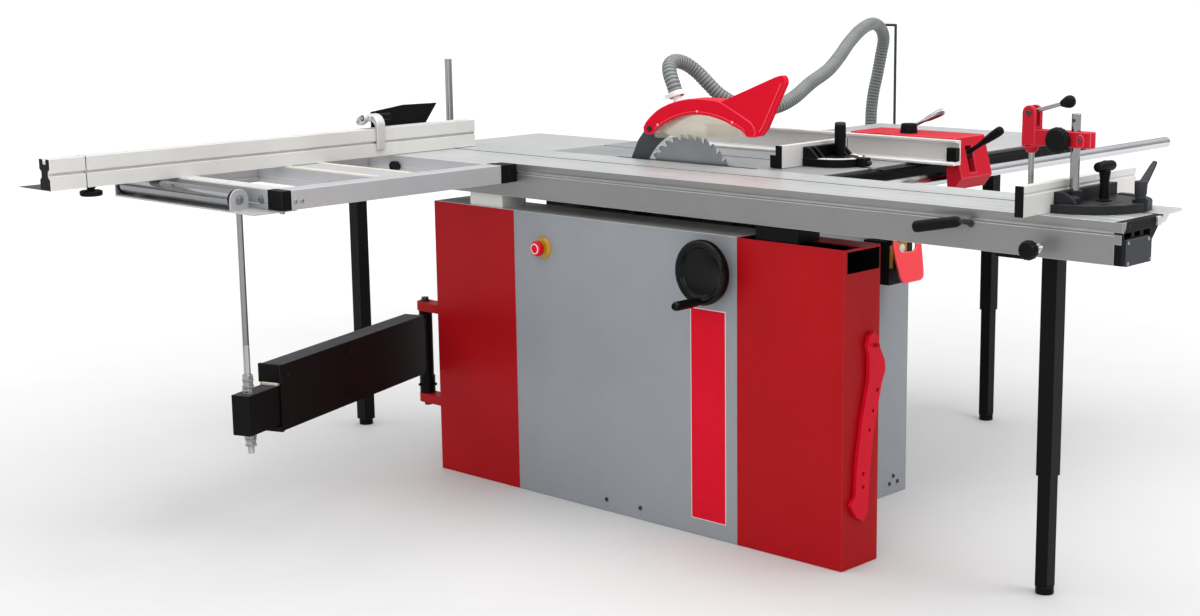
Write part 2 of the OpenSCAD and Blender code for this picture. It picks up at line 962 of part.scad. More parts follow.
module crosscut_fence() {
    color("whitesmoke") {
        difference() {
            block([fence_x0, fence_y0, fence_z0], [fence_x1, fence_y1, fence_z1]);
            block([fence_x0 + fence_wall, fence_y0 - over, fence_z0 + fence_wall],
                  [fence_x1 - fence_face, fence_y1 - fence_wall, fence_z1 - fence_wall]);
            block([fence_x1 - fence_slot_d, fence_y0 - over, fence_slot_z - fence_slot_h / 2],
                  [fence_x1 + over, fence_y1 + over, fence_slot_z + fence_slot_h / 2]);
        }
        rod_z(table_h - slot_neck_d + fit, fence_z0, fence_pin, pin_r);
    }
}

module fence_extension() {
    color("whitesmoke") {
        difference() {
            block([fence_x0, fence_y0 - extension_out, fence_z0], [fence_x1, fence_y0 - fit, fence_z1]);
            block([fence_x1 - fence_slot_d, fence_y0 - extension_out - over, fence_slot_z - fence_slot_h / 2],
                  [fence_x1 + over, fence_y0, fence_slot_z + fence_slot_h / 2]);
            block([fence_x0 + fence_face, fence_y0 - extension_out - over, fence_z0 + fence_face],
                  [fence_x1 - fence_face, fence_y0 - extension_out / 2, fence_z1 - fence_face]);
        }
        block([fence_x0 + fence_wall + fit, fence_y0 - fence_wall, fence_z0 + fence_wall + fit],
              [fence_x1 - fence_face - fit, fence_y0 + extension_in, fence_z1 - fence_wall - fit]);
        block([extension_plate_x0, fence_y0 - extension_out, fence_z0],
              [fence_x0, fence_y0 - extension_out + extension_plate_len, fence_z0 + extension_plate_t]);
    }
}

module fence_post() {
    color("silver") {
        rod_z(post_arm_z, post_top, post_left, post_r);
        block([post_left[0], post_left[1] - post_r, post_arm_z],
              [fence_x0, post_left[1] + post_r, post_arm_z + post_arm_h]);
    }
}

module stop_bracket() {
    face_x = fence_x1 + fit + stop_t;
    top = fence_z1 + fit + stop_t;
    color("whitesmoke") difference() {
        union() {
            block([fence_x1 + fit, stop_y0, fence_slot_z - stop_t], [face_x, stop_y1, top]);
            block([stop_axis[0] - stop_lug_r, stop_y0, fence_z1 + fit], [face_x, stop_y1, top]);
            block([stop_axis[0] - stop_lug_r, stop_y0, fence_z1 + fit],
                  [stop_axis[0] + stop_lug_r, stop_y1, stop_axis[1]]);
            rod_y(stop_y0, stop_y1, stop_axis[0], stop_axis[1], stop_lug_r);
        }
        rod_y(stop_y0 - over, stop_y1 + over, stop_axis[0], stop_axis[1], stop_pin_r + shaft_fit);
    }
}

module stop_flap() {
    knuckle_y1 = stop_flap_y0 + stop_flap_knuckle;
    color("black") {
        rod_y(stop_y0, knuckle_y1, stop_axis[0], stop_axis[1], stop_pin_r);
        rod_y(stop_flap_y0, knuckle_y1, stop_axis[0], stop_axis[1], stop_lug_r);
        block([stop_flap_x, stop_flap_y0, stop_axis[1] - stop_lug_r], [stop_axis[0], knuckle_y1, stop_axis[1]]);
        along_x(stop_flap_x, stop_flap_x + stop_flap_t) polygon(stop_flap_outline);
    }
}

module mitre_base() {
    wall_x1 = mitre_bar_x1 + mitre_wall_t;
    top = mitre_z0 + mitre_t;
    color("black") difference() {
        union() {
            intersection() {
                rod_z(mitre_z0, top, [wall_x1, mitre_y], mitre_r);
                block([mitre_bar_x1, mitre_y - mitre_r, mitre_z0], [wall_x1 + mitre_r, mitre_y + mitre_r, top]);
            }
            block([mitre_bar_x1, mitre_y - mitre_wall_half, mitre_z0],
                  [wall_x1, mitre_y + mitre_wall_half, mitre_z0 + mitre_wall_h]);
            rod_z(mitre_z0, top + clamp_boss_h, post_spot, clamp_boss_r);
            rod_z(mitre_z0, top + mitre_spacer_h, mitre_lever_spot, clamp_boss_r);
        }
        rod_z(mitre_z0 - over, top + over, mitre_pivot, mitre_stem_r + shaft_fit);
        rod_z(top, top + clamp_boss_h + over, post_spot, clamp_post_r);
        rod_z(mitre_z0 + mitre_spacer_h, top + mitre_spacer_h + over,
              mitre_lever_spot, mitre_stem_r + shaft_fit);
        block([mitre_bar_x1 - clamp_boss_r, post_spot[1] - clamp_boss_r, mitre_z0 - over],
              [mitre_bar_x1, post_spot[1] + clamp_boss_r, top + clamp_boss_h + over]);
    }
}

module mitre_bar() {
    x0 = mitre_bar_x1 - mitre_bar_t;
    color("silver") difference() {
        block([x0, mitre_bar_y0, mitre_z0], [mitre_bar_x1, mitre_bar_y0 + bar_len, mitre_z0 + bar_h]);
        block([mitre_bar_x1 - fence_slot_d, mitre_bar_y0 - over, mitre_z0 + bar_h - fence_slot_h * 2],
              [mitre_bar_x1 + over, mitre_bar_y0 + bar_len + over, mitre_z0 + bar_h - fence_slot_h]);
        block([x0 + fence_wall, mitre_bar_y0 - over, mitre_z0 + fence_wall],
              [mitre_bar_x1 - fence_face, mitre_bar_y0 + bar_len + over, mitre_z0 + bar_h - fence_wall]);
    }
}

module mitre_knob() {
    head_z = table_h - slot_neck_d - fit;
    color("black") {
        block([mitre_pivot[0] - mitre_nut_half, slot_y - slot_head / 2 + fit,
               head_z - slot_head_d + mitre_nut_gap],
              [mitre_pivot[0] + mitre_nut_half, slot_y + slot_head / 2 - fit, head_z]);
        rod_z(head_z, mitre_knob_z, mitre_pivot, mitre_stem_r - shaft_fit);
        rod_z(mitre_z0 + mitre_t + fit, mitre_knob_z, mitre_pivot, mitre_stem_r + mitre_sleeve);
        rod_y(mitre_pivot[1] - mitre_knob_half, mitre_pivot[1] + mitre_knob_half,
              mitre_pivot[0], mitre_knob_z, mitre_knob_r);
    }
}

module mitre_lever() {
    z0 = mitre_z0 + mitre_t + mitre_spacer_h + fit;
    z1 = z0 + mitre_lever_h;
    color("black") {
        rod_z(mitre_z0 + mitre_spacer_h + fit, z0, mitre_lever_spot, mitre_stem_r);
        rod_z(z0, z1, mitre_lever_spot, mitre_lever_r);
        translate([mitre_lever_spot[0], mitre_lever_spot[1], z1 - mitre_lever_r])
            rotate([mitre_lever_angle - 90, 0, 0]) cylinder(h = mitre_lever_len, r = mitre_arm_r);
    }
}

module clamp_post() {
    color("silver") rod_z(mitre_z0 + mitre_t, clamp_post_top, post_spot, clamp_post_r);
}

module clamp_arm() {
    y = post_spot[1];
    color("red") difference() {
        union() {
            block([arm_x0, y - arm_half, arm_z0], [arm_x1, y + arm_half, arm_z1]);
            rod_z(boss_z0, arm_z1, [plunger_x, y], boss_r);
            block([plunger_x - boss_r, y - arm_half, arm_z0], [plunger_x + boss_r, y + arm_half, lug_top]);
            rod_y(y - arm_half, y + arm_half, plunger_x, lug_top, boss_r);
        }
        rod_z(arm_z0 - over, arm_z1 + over, post_spot, clamp_post_r + shaft_fit);
        rod_z(boss_z0 - over, lug_top + boss_r + over, [plunger_x, y], plunger_r + shaft_fit);
        block([plunger_x - boss_r - over, y - lug_gap, arm_z1],
              [plunger_x + boss_r + over, y + lug_gap, lug_top + boss_r + over]);
        rod_y(y - arm_half - over, y + arm_half + over, plunger_x, lug_top, lug_pin_r + shaft_fit);
        rod_y(y - arm_half - over, y - arm_half / 2, clamp_knob_x, clamp_knob_z, clamp_screw_r + shaft_fit);
    }
}

module clamp_knob() {
    y = post_spot[1] - arm_half - clamp_knob_gap;
    color("black") {
        rod_y(y - clamp_knob_t, y, clamp_knob_x, clamp_knob_z, clamp_knob_r);
        rod_y(y, post_spot[1] - arm_half / 2 - fit, clamp_knob_x, clamp_knob_z, clamp_screw_r);
    }
}

module clamp_plunger() {
    spot = [plunger_x, post_spot[1]];
    color("silver") {
        rod_z(plunger_z0, plunger_z1, spot, plunger_r);
        rod_z(plunger_z0, plunger_z0 + plunger_foot_h, spot, plunger_foot_r);
    }
}

module clamp_lever() {
    y = post_spot[1];
    tip = [plunger_x + lever_len, y, lug_top + lever_rise];
    color("silver") {
        rod_y(y - arm_half, y + arm_half, plunger_x, lug_top, lug_pin_r);
        rod_y(y - lug_gap + fit, y + lug_gap - fit, plunger_x, lug_top, lever_boss_r);
        translate([plunger_x, y, lug_top]) rotate([0, 90 - atan2(lever_rise, lever_len), 0])
            cylinder(h = norm([lever_len, lever_rise]), r = lever_r);
        translate(tip) sphere(r = ball_r);
    }
}

module gauge_bar() {
    w = gauge_slot_w / 2 - fit;
    color("silver") {
        block([gauge_bar_x0, gauge_slot_y - w, table_h - gauge_slot_d + fit],
              [gauge_bar_x1, gauge_slot_y + w, table_h]);
        rod_z(table_h, fence_z0 + gauge_t + fit, gauge_pivot, gauge_pin_r);
        rod_z(fence_z0 + gauge_t + fit, fence_z0 + gauge_t + fit + gauge_head_h, gauge_pivot, gauge_pin_head);
    }
}

module gauge_head() {
    wall_x1 = gauge_face_x + gauge_wall_t;
    color("black") difference() {
        union() {
            intersection() {
                rod_z(fence_z0, fence_z0 + gauge_t, gauge_pivot, gauge_r);
                block([gauge_face_x, gauge_slot_y - gauge_r, fence_z0],
                      [gauge_pivot[0] + gauge_r, gauge_slot_y + gauge_r, fence_z0 + gauge_t]);
            }
            block([gauge_face_x, gauge_slot_y - gauge_wall_half, fence_z0],
                  [wall_x1, gauge_slot_y + gauge_wall_half, fence_z0 + gauge_wall_h]);
            rod_z(fence_z0, gauge_handle_top, gauge_handle, gauge_handle_r);
        }
        rod_z(fence_z0 - over, fence_z0 + gauge_t + over, gauge_pivot, gauge_pin_r + shaft_fit);
        rod_z(fence_z0 + gauge_t, fence_z0 + gauge_wall_h + over, gauge_pivot, gauge_pin_head + gauge_head_gap);
    }
}

module gauge_fence() {
    x0 = gauge_face_x - gauge_fence_t;
    z1 = fence_z0 + gauge_fence_h;
    color("silver") difference() {
        block([x0, gauge_fence_y0, fence_z0], [gauge_face_x, gauge_fence_y1, z1]);
        block([x0 + fence_wall, gauge_fence_y0 - over, fence_z0 + fence_wall],
              [gauge_face_x - fence_face, gauge_fence_y1 + over, z1 - fence_wall]);
        block([gauge_face_x - fence_slot_d, gauge_fence_y0 - over, z1 - fence_slot_h * 2],
              [gauge_face_x + over, gauge_fence_y1 + over, z1 - fence_slot_h]);
    }
}

module rip_saddle() {
    color("red") difference() {
        along_y(saddle_y0, saddle_y1) polygon([
            [saddle_x0, saddle_z0], [saddle_x0, saddle_z1], [saddle_x1 - saddle_lean, saddle_z1],
            [saddle_x1, saddle_crease_z],
            [saddle_x1 - saddle_low_cut, saddle_low_z], [saddle_front_x, saddle_low_z],
            [saddle_front_x, saddle_z0], [rail_x + saddle_pad_half, saddle_z0],
            [rail_x + saddle_pad_half, rail_z + rail_r + fit],
            [rail_x - saddle_pad_half, rail_z + rail_r + fit],
            [rail_x - saddle_pad_half, saddle_z0]
        ]);
        block([saddle_x1 - lever_slot_d, lever_slot_y[0], lever_slot_z[0]],
              [saddle_x1 + over, lever_slot_y[1], lever_slot_z[1]]);
        rod_y(lever_slot_y[0] - rip_lever_boss, lever_slot_y[1] + rip_lever_boss,
              rip_lever_pivot[0], rip_lever_pivot[2], rip_lever_r + shaft_fit);
    }
}

module rip_profile() {
    face_y = profile_y1 - profile_t;
    z1 = fence_z0 + profile_h;
    color("silver") along_x(profile_x0, profile_x1) polygon([
        [profile_y1, fence_z0], [profile_y1, z1], [face_y - profile_lip, z1],
        [face_y - profile_lip, z1 - profile_foot], [face_y, z1 - profile_foot],
        [face_y, fence_z0 + profile_foot], [profile_y1 - profile_flange, fence_z0 + profile_foot],
        [profile_y1 - profile_flange, fence_z0]
    ]);
}

module rip_lever() {
    color("black") {
        rod_y(lever_slot_y[0] + fit, lever_slot_y[1] - fit,
              rip_lever_pivot[0], rip_lever_pivot[2], rip_lever_boss);
        rod_y(lever_slot_y[0] - rip_lever_boss + fit, lever_slot_y[1] + rip_lever_boss - fit,
              rip_lever_pivot[0], rip_lever_pivot[2], rip_lever_r);
        translate(rip_lever_pivot) rotate([0, 90 - rip_lever_angle, 0]) {
            cylinder(h = rip_lever_len, r = rip_lever_r);
            translate([0, 0, rip_lever_len - rip_grip_len]) cylinder(h = rip_grip_len, r = rip_grip_r);
        }
    }
}

module rip_handle() {
    z0 = saddle_z1 + fit;
    color("silver") {
        translate([rip_hub[0], rip_hub[1], z0]) cylinder(h = rip_hub_h, r1 = rip_hub_r, r2 = rip_hub_top_r);
        translate([rip_hub[0], rip_hub[1], z0 + rip_hub_h / 2])
        rotate([0, 0, -rip_arm_turn]) rotate([-90 + rip_arm_tilt, 0, 0]) {
            cylinder(h = rip_arm_len, r = rip_arm_r);
            translate([0, 0, rip_arm_len / 2]) cylinder(h = rip_arm_len / 2, r = rip_arm_grip_r);
        }
    }
}

module handwheel() {
    grip_z = wheel_z - wheel_r + wheel_rim_w / 2;
    color("black") {
        translate([wheel_x, wheel_y, wheel_z]) rotate([90, 0, 0]) rotate_extrude() polygon([
            [0, -wheel_dish], [0, wheel_web - wheel_dish],
            [wheel_r - wheel_rim_w - wheel_dish, wheel_web - wheel_dish],
            [wheel_r - wheel_rim_w, wheel_rim_d / 2], [wheel_r - wheel_dish, wheel_rim_d / 2],
            [wheel_r, wheel_rim_d / 2 - wheel_dish], [wheel_r, wheel_dish - wheel_rim_d / 2],
            [wheel_r - wheel_dish, -wheel_rim_d / 2], [wheel_r - wheel_rim_w, -wheel_rim_d / 2],
            [wheel_r - wheel_rim_w - wheel_dish, -wheel_dish]
        ]);
        rod_y(wheel_y, front_y - fit, wheel_x, wheel_z, wheel_hub_r);
        rod_y(wheel_y, front_y + wheel_shaft_in, wheel_x, wheel_z, wheel_shaft_r);
        rod_y(wheel_y - wheel_grip_len, wheel_y, wheel_x, grip_z, wheel_grip_r);
    }
}

module estop_button() {
    y1 = front_y - estop_gap;
    color("red") {
        rod_y(y1 - estop_cap, y1, estop_x, estop_z, estop_r);
        rod_y(y1, front_y + sheet + estop_stem_r, estop_x, estop_z, estop_stem_r);
    }
}

module switch_box() {
    color("black") difference() {
        union() {
            block([cabinet_x, switch_y0, switch_z0], [switch_x1, switch_y1, switch_z1]);
            for (y = [switch_y0, switch_y1 - flap_ear_w]) {
                rod_y(y, y + flap_ear_w, flap_axis[0], flap_axis[1], flap_ear_r);
                block([switch_x1 - flap_ear_r, y, switch_z1 - flap_ear_r],
                      [flap_axis[0], y + flap_ear_w, flap_axis[1]]);
            }
        }
        rod_y(switch_y0 - over, switch_y1 + over, flap_axis[0], flap_axis[1], flap_pin_r + shaft_fit);
    }
}

module switch_flap() {
    y0 = switch_y0 + flap_ear_w + fit;
    y1 = switch_y1 - flap_ear_w - fit;
    color("red") {
        rod_y(switch_y0, switch_y1, flap_axis[0], flap_axis[1], flap_pin_r);
        rod_y(y0, y1, flap_axis[0], flap_axis[1], flap_ear_r);
        translate([flap_axis[0], 0, flap_axis[1]]) rotate([0, -flap_tilt, 0]) difference() {
            union() {
                block([flap_plate_in, y0, -flap_drop], [flap_plate_in + flap_plate_t, y1, 0]);
                block([flap_plate_in, switch_y0 - flap_over, -flap_drop],
                      [flap_plate_in + flap_plate_t, switch_y1 + flap_over, -flap_ear_r * 2]);
            }
            block([0, (y0 + y1 - flap_notch) / 2, -flap_notch],
                  [flap_ear_r + over, (y0 + y1 + flap_notch) / 2, -flap_ear_r]);
        }
    }
}

module push_stick() {
    color("red") difference() {
        along_x(stick_x0, stick_x0 + stick_t) polygon(stick_outline);
        rod_x(stick_x0 - over, stick_x0 + stick_t + over, peg_y, peg_z, stick_hole_r);
        for (spot = stick_holes)
            rod_x(stick_x0 - over, stick_x0 + stick_t + over, spot[0], spot[1], stick_small_r);
    }
}

module swing_arm() {
    low_z = low_bracket_z + bracket_t + fit;
    high_z = high_bracket_z - fit;
    color("black") {
        rod_z(low_bracket_z - hinge_pin_end, high_bracket_z + bracket_t + hinge_pin_end,
              [hinge_x, hinge_y], hinge_pin_r);
        rod_z(low_z, high_z, [hinge_x, hinge_y], arm_post_r);
        rod_z(low_z, arm_collar_z, [hinge_x, hinge_y], arm_collar_r);
        in_arm() {
            difference() {
                block([-arm_w / 2, -arm_stop, arm_box_z0], [arm_w / 2, -arm_start, arm_box_z1]);
                block([-arm_w / 2 + arm_wall, -arm_stop - over, arm_box_z0 + arm_wall],
                      [arm_w / 2 - arm_wall, -arm_start - arm_wall, arm_box_z1 - arm_wall]);
            }
            block([-arm_neck / 2, -arm_start - arm_wall, arm_box_z0], [arm_neck / 2, 0, arm_box_z1 - arm_neck]);
        }
    }
}

module arm_extension() {
    color("black") in_arm() difference() {
        block([-tube_w / 2, -arm_len - tube_out, tube_z0], [tube_w / 2, -arm_len + tube_in, tube_z1]);
        block([-tube_w / 2 + tube_wall, -arm_len - tube_out + tube_wall, tube_z0 + tube_wall],
              [tube_w / 2 - tube_wall, -arm_len + tube_in + over, tube_z1 - tube_wall]);
        rod_z(tube_z0 - over, tube_z1 + over, [0, -arm_len], column_r);
    }
}

module arm_column() {
    spot = [column_x, column_y];
    color("silver") {
        rod_z(column_z0, column_top, spot, column_r);
        for (z = [tube_z0 - nut_h, tube_z1])
            translate([spot[0], spot[1], z]) cylinder(h = nut_h, r = nut_r, $fn = 6);
    }
}

// one arc of the trunnion, swung about the blade's tilt axis at the table top
module trunnion_arc(x0, x1) {
    far = trunnion_r * 2;
    intersection() {
        difference() {
            rod_x(x0, x1, blade_y, pivot_z, trunnion_r);
            rod_x(x0 - over, x1 + over, blade_y, pivot_z, lug_r + fit);
        }
        along_x(x0, x1) polygon([
            [blade_y, pivot_z], [blade_y, pivot_z - far],
            [blade_y + far * sin(trunnion_angle), pivot_z - far],
            [blade_y + far * sin(trunnion_angle), pivot_z - far * cos(trunnion_angle)]
        ]);
    }
}

module trunnion() {
    color("dimgray") {
        trunnion_arc(lug_x0, lug_x1);
        trunnion_arc(-lug_x1, -lug_x0);
        block([-lug_x1, trunnion_y0, trunnion_low], [trunnion_gap0, trunnion_y1, trunnion_high]);
        block([trunnion_gap1, trunnion_y0, trunnion_low], [lug_x1, trunnion_y1, trunnion_high]);
        block([-lug_x1, trunnion_y0, trunnion_low], [lug_x1, trunnion_y1, trunnion_low + trunnion_bridge]);
    }
}

module saw_carriage() {
    y1 = trunnion_y0 - fit;
    color("dimgray") difference() {
        union() {
            block([carriage_x0, carriage_y0, carriage_z0], [carriage_x1, y1, carriage_z1]);
            block([arbor_x - neck_half, carriage_y0, carriage_z0], [arbor_x + neck_half, y1, arbor_z]);
            rod_y(housing_y0, housing_y1, arbor_x, arbor_z, housing_r);
            for (x = [arbor_x - motor_plate_half - carriage_arm_t, arbor_x + motor_plate_half])
                block([x, carriage_y0, carriage_arm_z[0]],
                      [x + carriage_arm_t, motor_face_y, carriage_arm_z[1]]);
            block([knife_bracket_x0, blade_y + knife_t / 2, knife_bracket_z[0]],
                  [knife_bracket_x1, y1, knife_bracket_z[1]]);
            block([knife_bracket_x0, blade_y + knife_t / 2 + blade_clear, knife_bracket_z[0]],
                  [carriage_x0, y1, knife_bracket_z[1]]);
            block([carriage_x0, carriage_y0, knife_bracket_z[0]],
                  [carriage_x0 + carriage_arm_t, y1, carriage_z1]);
        }
        rod_y(housing_y0 - over, housing_y1 + over, arbor_x, arbor_z, arbor_r + shaft_fit);
    }
}

module motor() {
    half = motor_plate_half + carriage_arm_t;
    color("steelblue") difference() {
        union() {
            block([arbor_x - half, motor_face_y, motor_z - motor_plate_half],
                  [arbor_x + half, motor_face_y + motor_plate_t, motor_z + motor_plate_half]);
            rod_y(motor_face_y, motor_y1, arbor_x, motor_z, motor_r);
        }
        rod_y(motor_face_y - over, motor_face_y + motor_shaft_in + fit,
              arbor_x, motor_z, motor_shaft_r + shaft_fit);
    }
}

module motor_pulley() {
    color("dimgray") {
        rod_y(pulley_y0, pulley_y1, arbor_x, motor_z, motor_pulley_r);
        rod_y(pulley_y0, motor_face_y + motor_shaft_in, arbor_x, motor_z, motor_shaft_r);
    }
}

module arbor() {
    y_near = blade_y - blade_t / 2;
    y_far = blade_y + blade_t / 2;
    color("silver") {
        rod_y(arbor_y0, arbor_y1, arbor_x, arbor_z, arbor_r);
        rod_y(y_near - flange_t, y_near, arbor_x, arbor_z, flange_r);
        rod_y(y_far, y_far + flange_t, arbor_x, arbor_z, flange_r);
        rod_y(pulley_y0, pulley_y1, arbor_x, arbor_z, pulley_r);
    }
}

// blade outline: each tooth has a steep face, a sloping back and a rounded-off gullet floor
tooth_face_share = 0.06;
gullet_share = 0.4;
gullet_floor_share = 0.62;
gullet_depth = 12;
function tooth_spot(k, share, r) = let (a = (k + share) * 360 / tooth_count) [r * cos(a), r * sin(a)];
blade_outline = [for (k = [0:tooth_count - 1]) for (spot = [
    tooth_spot(k, 0, blade_r), tooth_spot(k, tooth_face_share, blade_r - gullet_depth),
    tooth_spot(k, gullet_share, blade_r - gullet_depth),
    tooth_spot(k, gullet_floor_share, blade_r - gullet_depth / 3)
]) spot];

module saw_blade() {
    color("lightgray") difference() {
        translate([arbor_x, 0, arbor_z])
            along_y(blade_y - blade_t / 2, blade_y + blade_t / 2) polygon(blade_outline);
        rod_y(blade_y - blade_t, blade_y + blade_t, arbor_x, arbor_z, bore_r);
    }
}

module belt_loop(extra) {
    hull() {
        translate([arbor_x, arbor_z]) circle(r = pulley_r + extra, $fn = 32);
        translate([arbor_x, motor_z]) circle(r = motor_pulley_r + extra, $fn = 32);
    }
}

module drive_belt() {
    color("black") along_y(pulley_y0 + belt_side, pulley_y1 - belt_side) difference() {
        belt_loop(fit + belt_t);
        belt_loop(fit);
    }
}

module riving_knife() {
    color("black") {
        along_y(blade_y - knife_t / 2, blade_y + knife_t / 2) difference() {
            polygon(knife_outline);
            translate([arbor_x, arbor_z]) circle(r = blade_r + knife_gap);
        }
        rod_y(blade_y - hood_half - over, blade_y + hood_half + over,
              guard_bolt[0], guard_bolt[1], guard_bolt_r);
    }
}

module guard_hood() {
    tail_y = blade_y - hood_half + hood_tail;
    color("red") difference() {
        union() {
            along_y(blade_y - hood_half, blade_y + hood_half) polygon(hood_outline);
            translate(port_base) rotate([0, port_lean, 0]) cylinder(h = port_len, r = port_r);
        }
        along_y(blade_y - hood_half + hood_wall, blade_y + hood_half - hood_wall) polygon(hood_cavity);
        // the tail narrows to a plate in line with the near side
        along_z(table_h, hook_top) polygon([
            [hood_tail_x[0], blade_y + hood_half], [hood_tail_x[1], tail_y], [main_x1, tail_y],
            [main_x1, blade_y + hood_half + over], [hood_tail_x[0], blade_y + hood_half + over]
        ]);
        translate(port_base) rotate([0, port_lean, 0]) translate([0, 0, -port_len])
            cylinder(h = port_len * 3, r = port_r - hood_wall);
        rod_y(blade_y - hood_half - over, blade_y + hood_half + over,
              guard_bolt[0], guard_bolt[1], guard_bolt_r);
        block([knife_slot_x[0], blade_y - knife_t / 2 - fit, knife_slot_z[0]],
              [knife_slot_x[1], blade_y + knife_t / 2 + fit, knife_slot_z[1]]);
    }
}

// the hose: a smooth curve through the route points carries rings whose radius rises and falls
hose_last = len(hose_route) - 1;
function route_spot(k) = hose_route[max(0, min(hose_last, k))];
function curve(a, b, c, d, t) = 0.5 * (2 * b + (c - a) * t + (2 * a - 5 * b + 4 * c - d) * t * t
    + (3 * b - a - 3 * c + d) * t * t * t);
function hose_at(s) = let (k = min(hose_last - 1, floor(s)), t = s - k)
    curve(route_spot(k - 1), route_spot(k), route_spot(k + 1), route_spot(k + 2), t);
function unit(v) = v / norm(v);
hose_step = 0.02;
function hose_way(s) = unit(hose_at(min(hose_last, s + hose_step)) - hose_at(max(0, s - hose_step)));
hose_guide = unit([1, 0.35, 0.2]);
function hose_ring(s, r) =
    let (c = hose_at(s), w = hose_way(s), u = unit(cross(w, hose_guide)), v = cross(w, u))
    [for (j = [0:hose_sides - 1]) c + r * (cos(360 * j / hose_sides) * u + sin(360 * j / hose_sides) * v)];

// lengths along the route, so that the ribs are evenly spaced
hose_marks = 10;
hose_spans = hose_last * hose_marks;
function hose_run(k) = k == 0 ? 0 : norm(hose_at(k / hose_marks) - hose_at((k - 1) / hose_marks));
function run_sums(k, total) = k > hose_spans ? [] :
    let (now = total + hose_run(k)) concat([now], run_sums(k + 1, now));
hose_lengths = run_sums(0, 0);
hose_total = hose_lengths[hose_spans];
function place(want) = lookup(want, [for (k = [0:hose_spans]) [hose_lengths[k], k / hose_marks]]);
hose_outer = [for (k = [0:hose_ribs * 2 - 1])
    hose_ring(place(hose_total * k / (hose_ribs * 2 - 1)), k % 2 == 0 ? hose_valley : hose_r)];
hose_inner = [for (k = [0:hose_core_rings - 1])
    hose_ring(place(hose_total * (1 - k / (hose_core_rings - 1))), hose_bore)];
hose_rings = concat(hose_outer, hose_inner);
hose_points = [for (ring = hose_rings) for (spot = ring) spot];
hose_count = len(hose_rings);
function ring_point(k, j) = (k % hose_count) * hose_sides + j % hose_sides;
hose_faces = [for (k = [0:hose_count - 1]) for (j = [0:hose_sides - 1]) for (face = [
    [ring_point(k, j), ring_point(k, j + 1), ring_point(k + 1, j)],
    [ring_point(k, j + 1), ring_point(k + 1, j + 1), ring_point(k + 1, j)]
]) face];

module dust_hose() {
    color("gray") polyhedron(points = hose_points, faces = hose_faces);
}

module hose_rod() {
    color("dimgray") {
        rod_z(hook_low, hook_top, [hook_x, hook_y], hook_r);
        translate([hook_x, hook_y, hook_top]) sphere(r = hook_r);
        rod_x(hook_end_x, hook_x, hook_y, hook_top, hook_r);
        block([hook_x - hook_bracket_half, side_y1, hook_bracket_z],
              [hook_x + hook_bracket_half, hook_y, hook_bracket_z + hook_bracket_h]);
    }
}

left_housing();
centre_housing();
right_housing();
rear_cabinet();
main_table();
side_table();
outfeed_table();
front_bar();
rip_rail();
rail_beam();
leg_tubes();
front_leg_foot();
side_leg_foot();
sliding_table();
end_caps();
push_handle();
lock_knob();
outrigger_frame();
roller_plate();
end_roller();
crosscut_fence();
fence_extension();
fence_post();
stop_bracket();
stop_flap();
mitre_base();
mitre_bar();
mitre_knob();
mitre_lever();
clamp_post();
clamp_arm();
clamp_knob();
clamp_plunger();
clamp_lever();
gauge_bar();
gauge_head();
gauge_fence();
rip_saddle();
rip_profile();
rip_lever();
rip_handle();
handwheel();
estop_button();
switch_box();
switch_flap();
push_stick();
swing_arm();
arm_extension();
arm_column();
trunnion();
saw_carriage();
motor();
motor_pulley();
arbor();
saw_blade();
drive_belt();
riving_knife();
guard_hood();
dust_hose();
hose_rod();
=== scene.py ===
"""Looks of the sliding table saw: eased edges, trim, finishes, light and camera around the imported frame."""
import json
import math

import bmesh
import bpy
from mathutils import Matrix, Vector, kdtree


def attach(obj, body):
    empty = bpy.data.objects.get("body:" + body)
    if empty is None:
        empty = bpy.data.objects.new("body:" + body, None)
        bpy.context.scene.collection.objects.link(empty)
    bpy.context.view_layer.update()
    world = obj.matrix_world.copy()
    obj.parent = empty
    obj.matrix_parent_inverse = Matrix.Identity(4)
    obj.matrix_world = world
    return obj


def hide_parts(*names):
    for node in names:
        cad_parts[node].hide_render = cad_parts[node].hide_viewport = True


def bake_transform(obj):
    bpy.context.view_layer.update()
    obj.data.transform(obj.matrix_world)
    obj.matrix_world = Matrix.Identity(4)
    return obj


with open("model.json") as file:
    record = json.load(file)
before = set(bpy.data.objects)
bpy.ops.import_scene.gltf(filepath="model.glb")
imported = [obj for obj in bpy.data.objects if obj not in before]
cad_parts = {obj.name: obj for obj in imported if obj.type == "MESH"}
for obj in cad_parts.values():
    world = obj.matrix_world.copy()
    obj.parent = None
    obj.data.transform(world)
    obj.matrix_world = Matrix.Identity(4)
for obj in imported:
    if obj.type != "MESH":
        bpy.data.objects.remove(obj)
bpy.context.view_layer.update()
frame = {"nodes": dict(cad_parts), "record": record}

# Everything is drawn in millimetres in the CAD frame and scaled to metres when a piece is made.
MM = 0.001
X, Y, Z = 0, 1, 2
LEFT, RIGHT = (-1, 0, 0), (1, 0, 0)
FRONT, BACK = (0, -1, 0), (0, 1, 0)
DOWN, UP = (0, 0, -1), (0, 0, 1)

# Places of the CAD frame that several pieces share
FRONT_Y = -323.25
HOUSING_X = 676.5
SEAM_X = 370.5
HOUSING_TOP = 727.6
BEAM_LOW = 761.0
TABLE_TOP = 850.0
SLIDE_Y = -342.25
SLOT_Y = -183.0
BLADE_Y = -54.0


# Camera, solved from the straight edges of the photograph

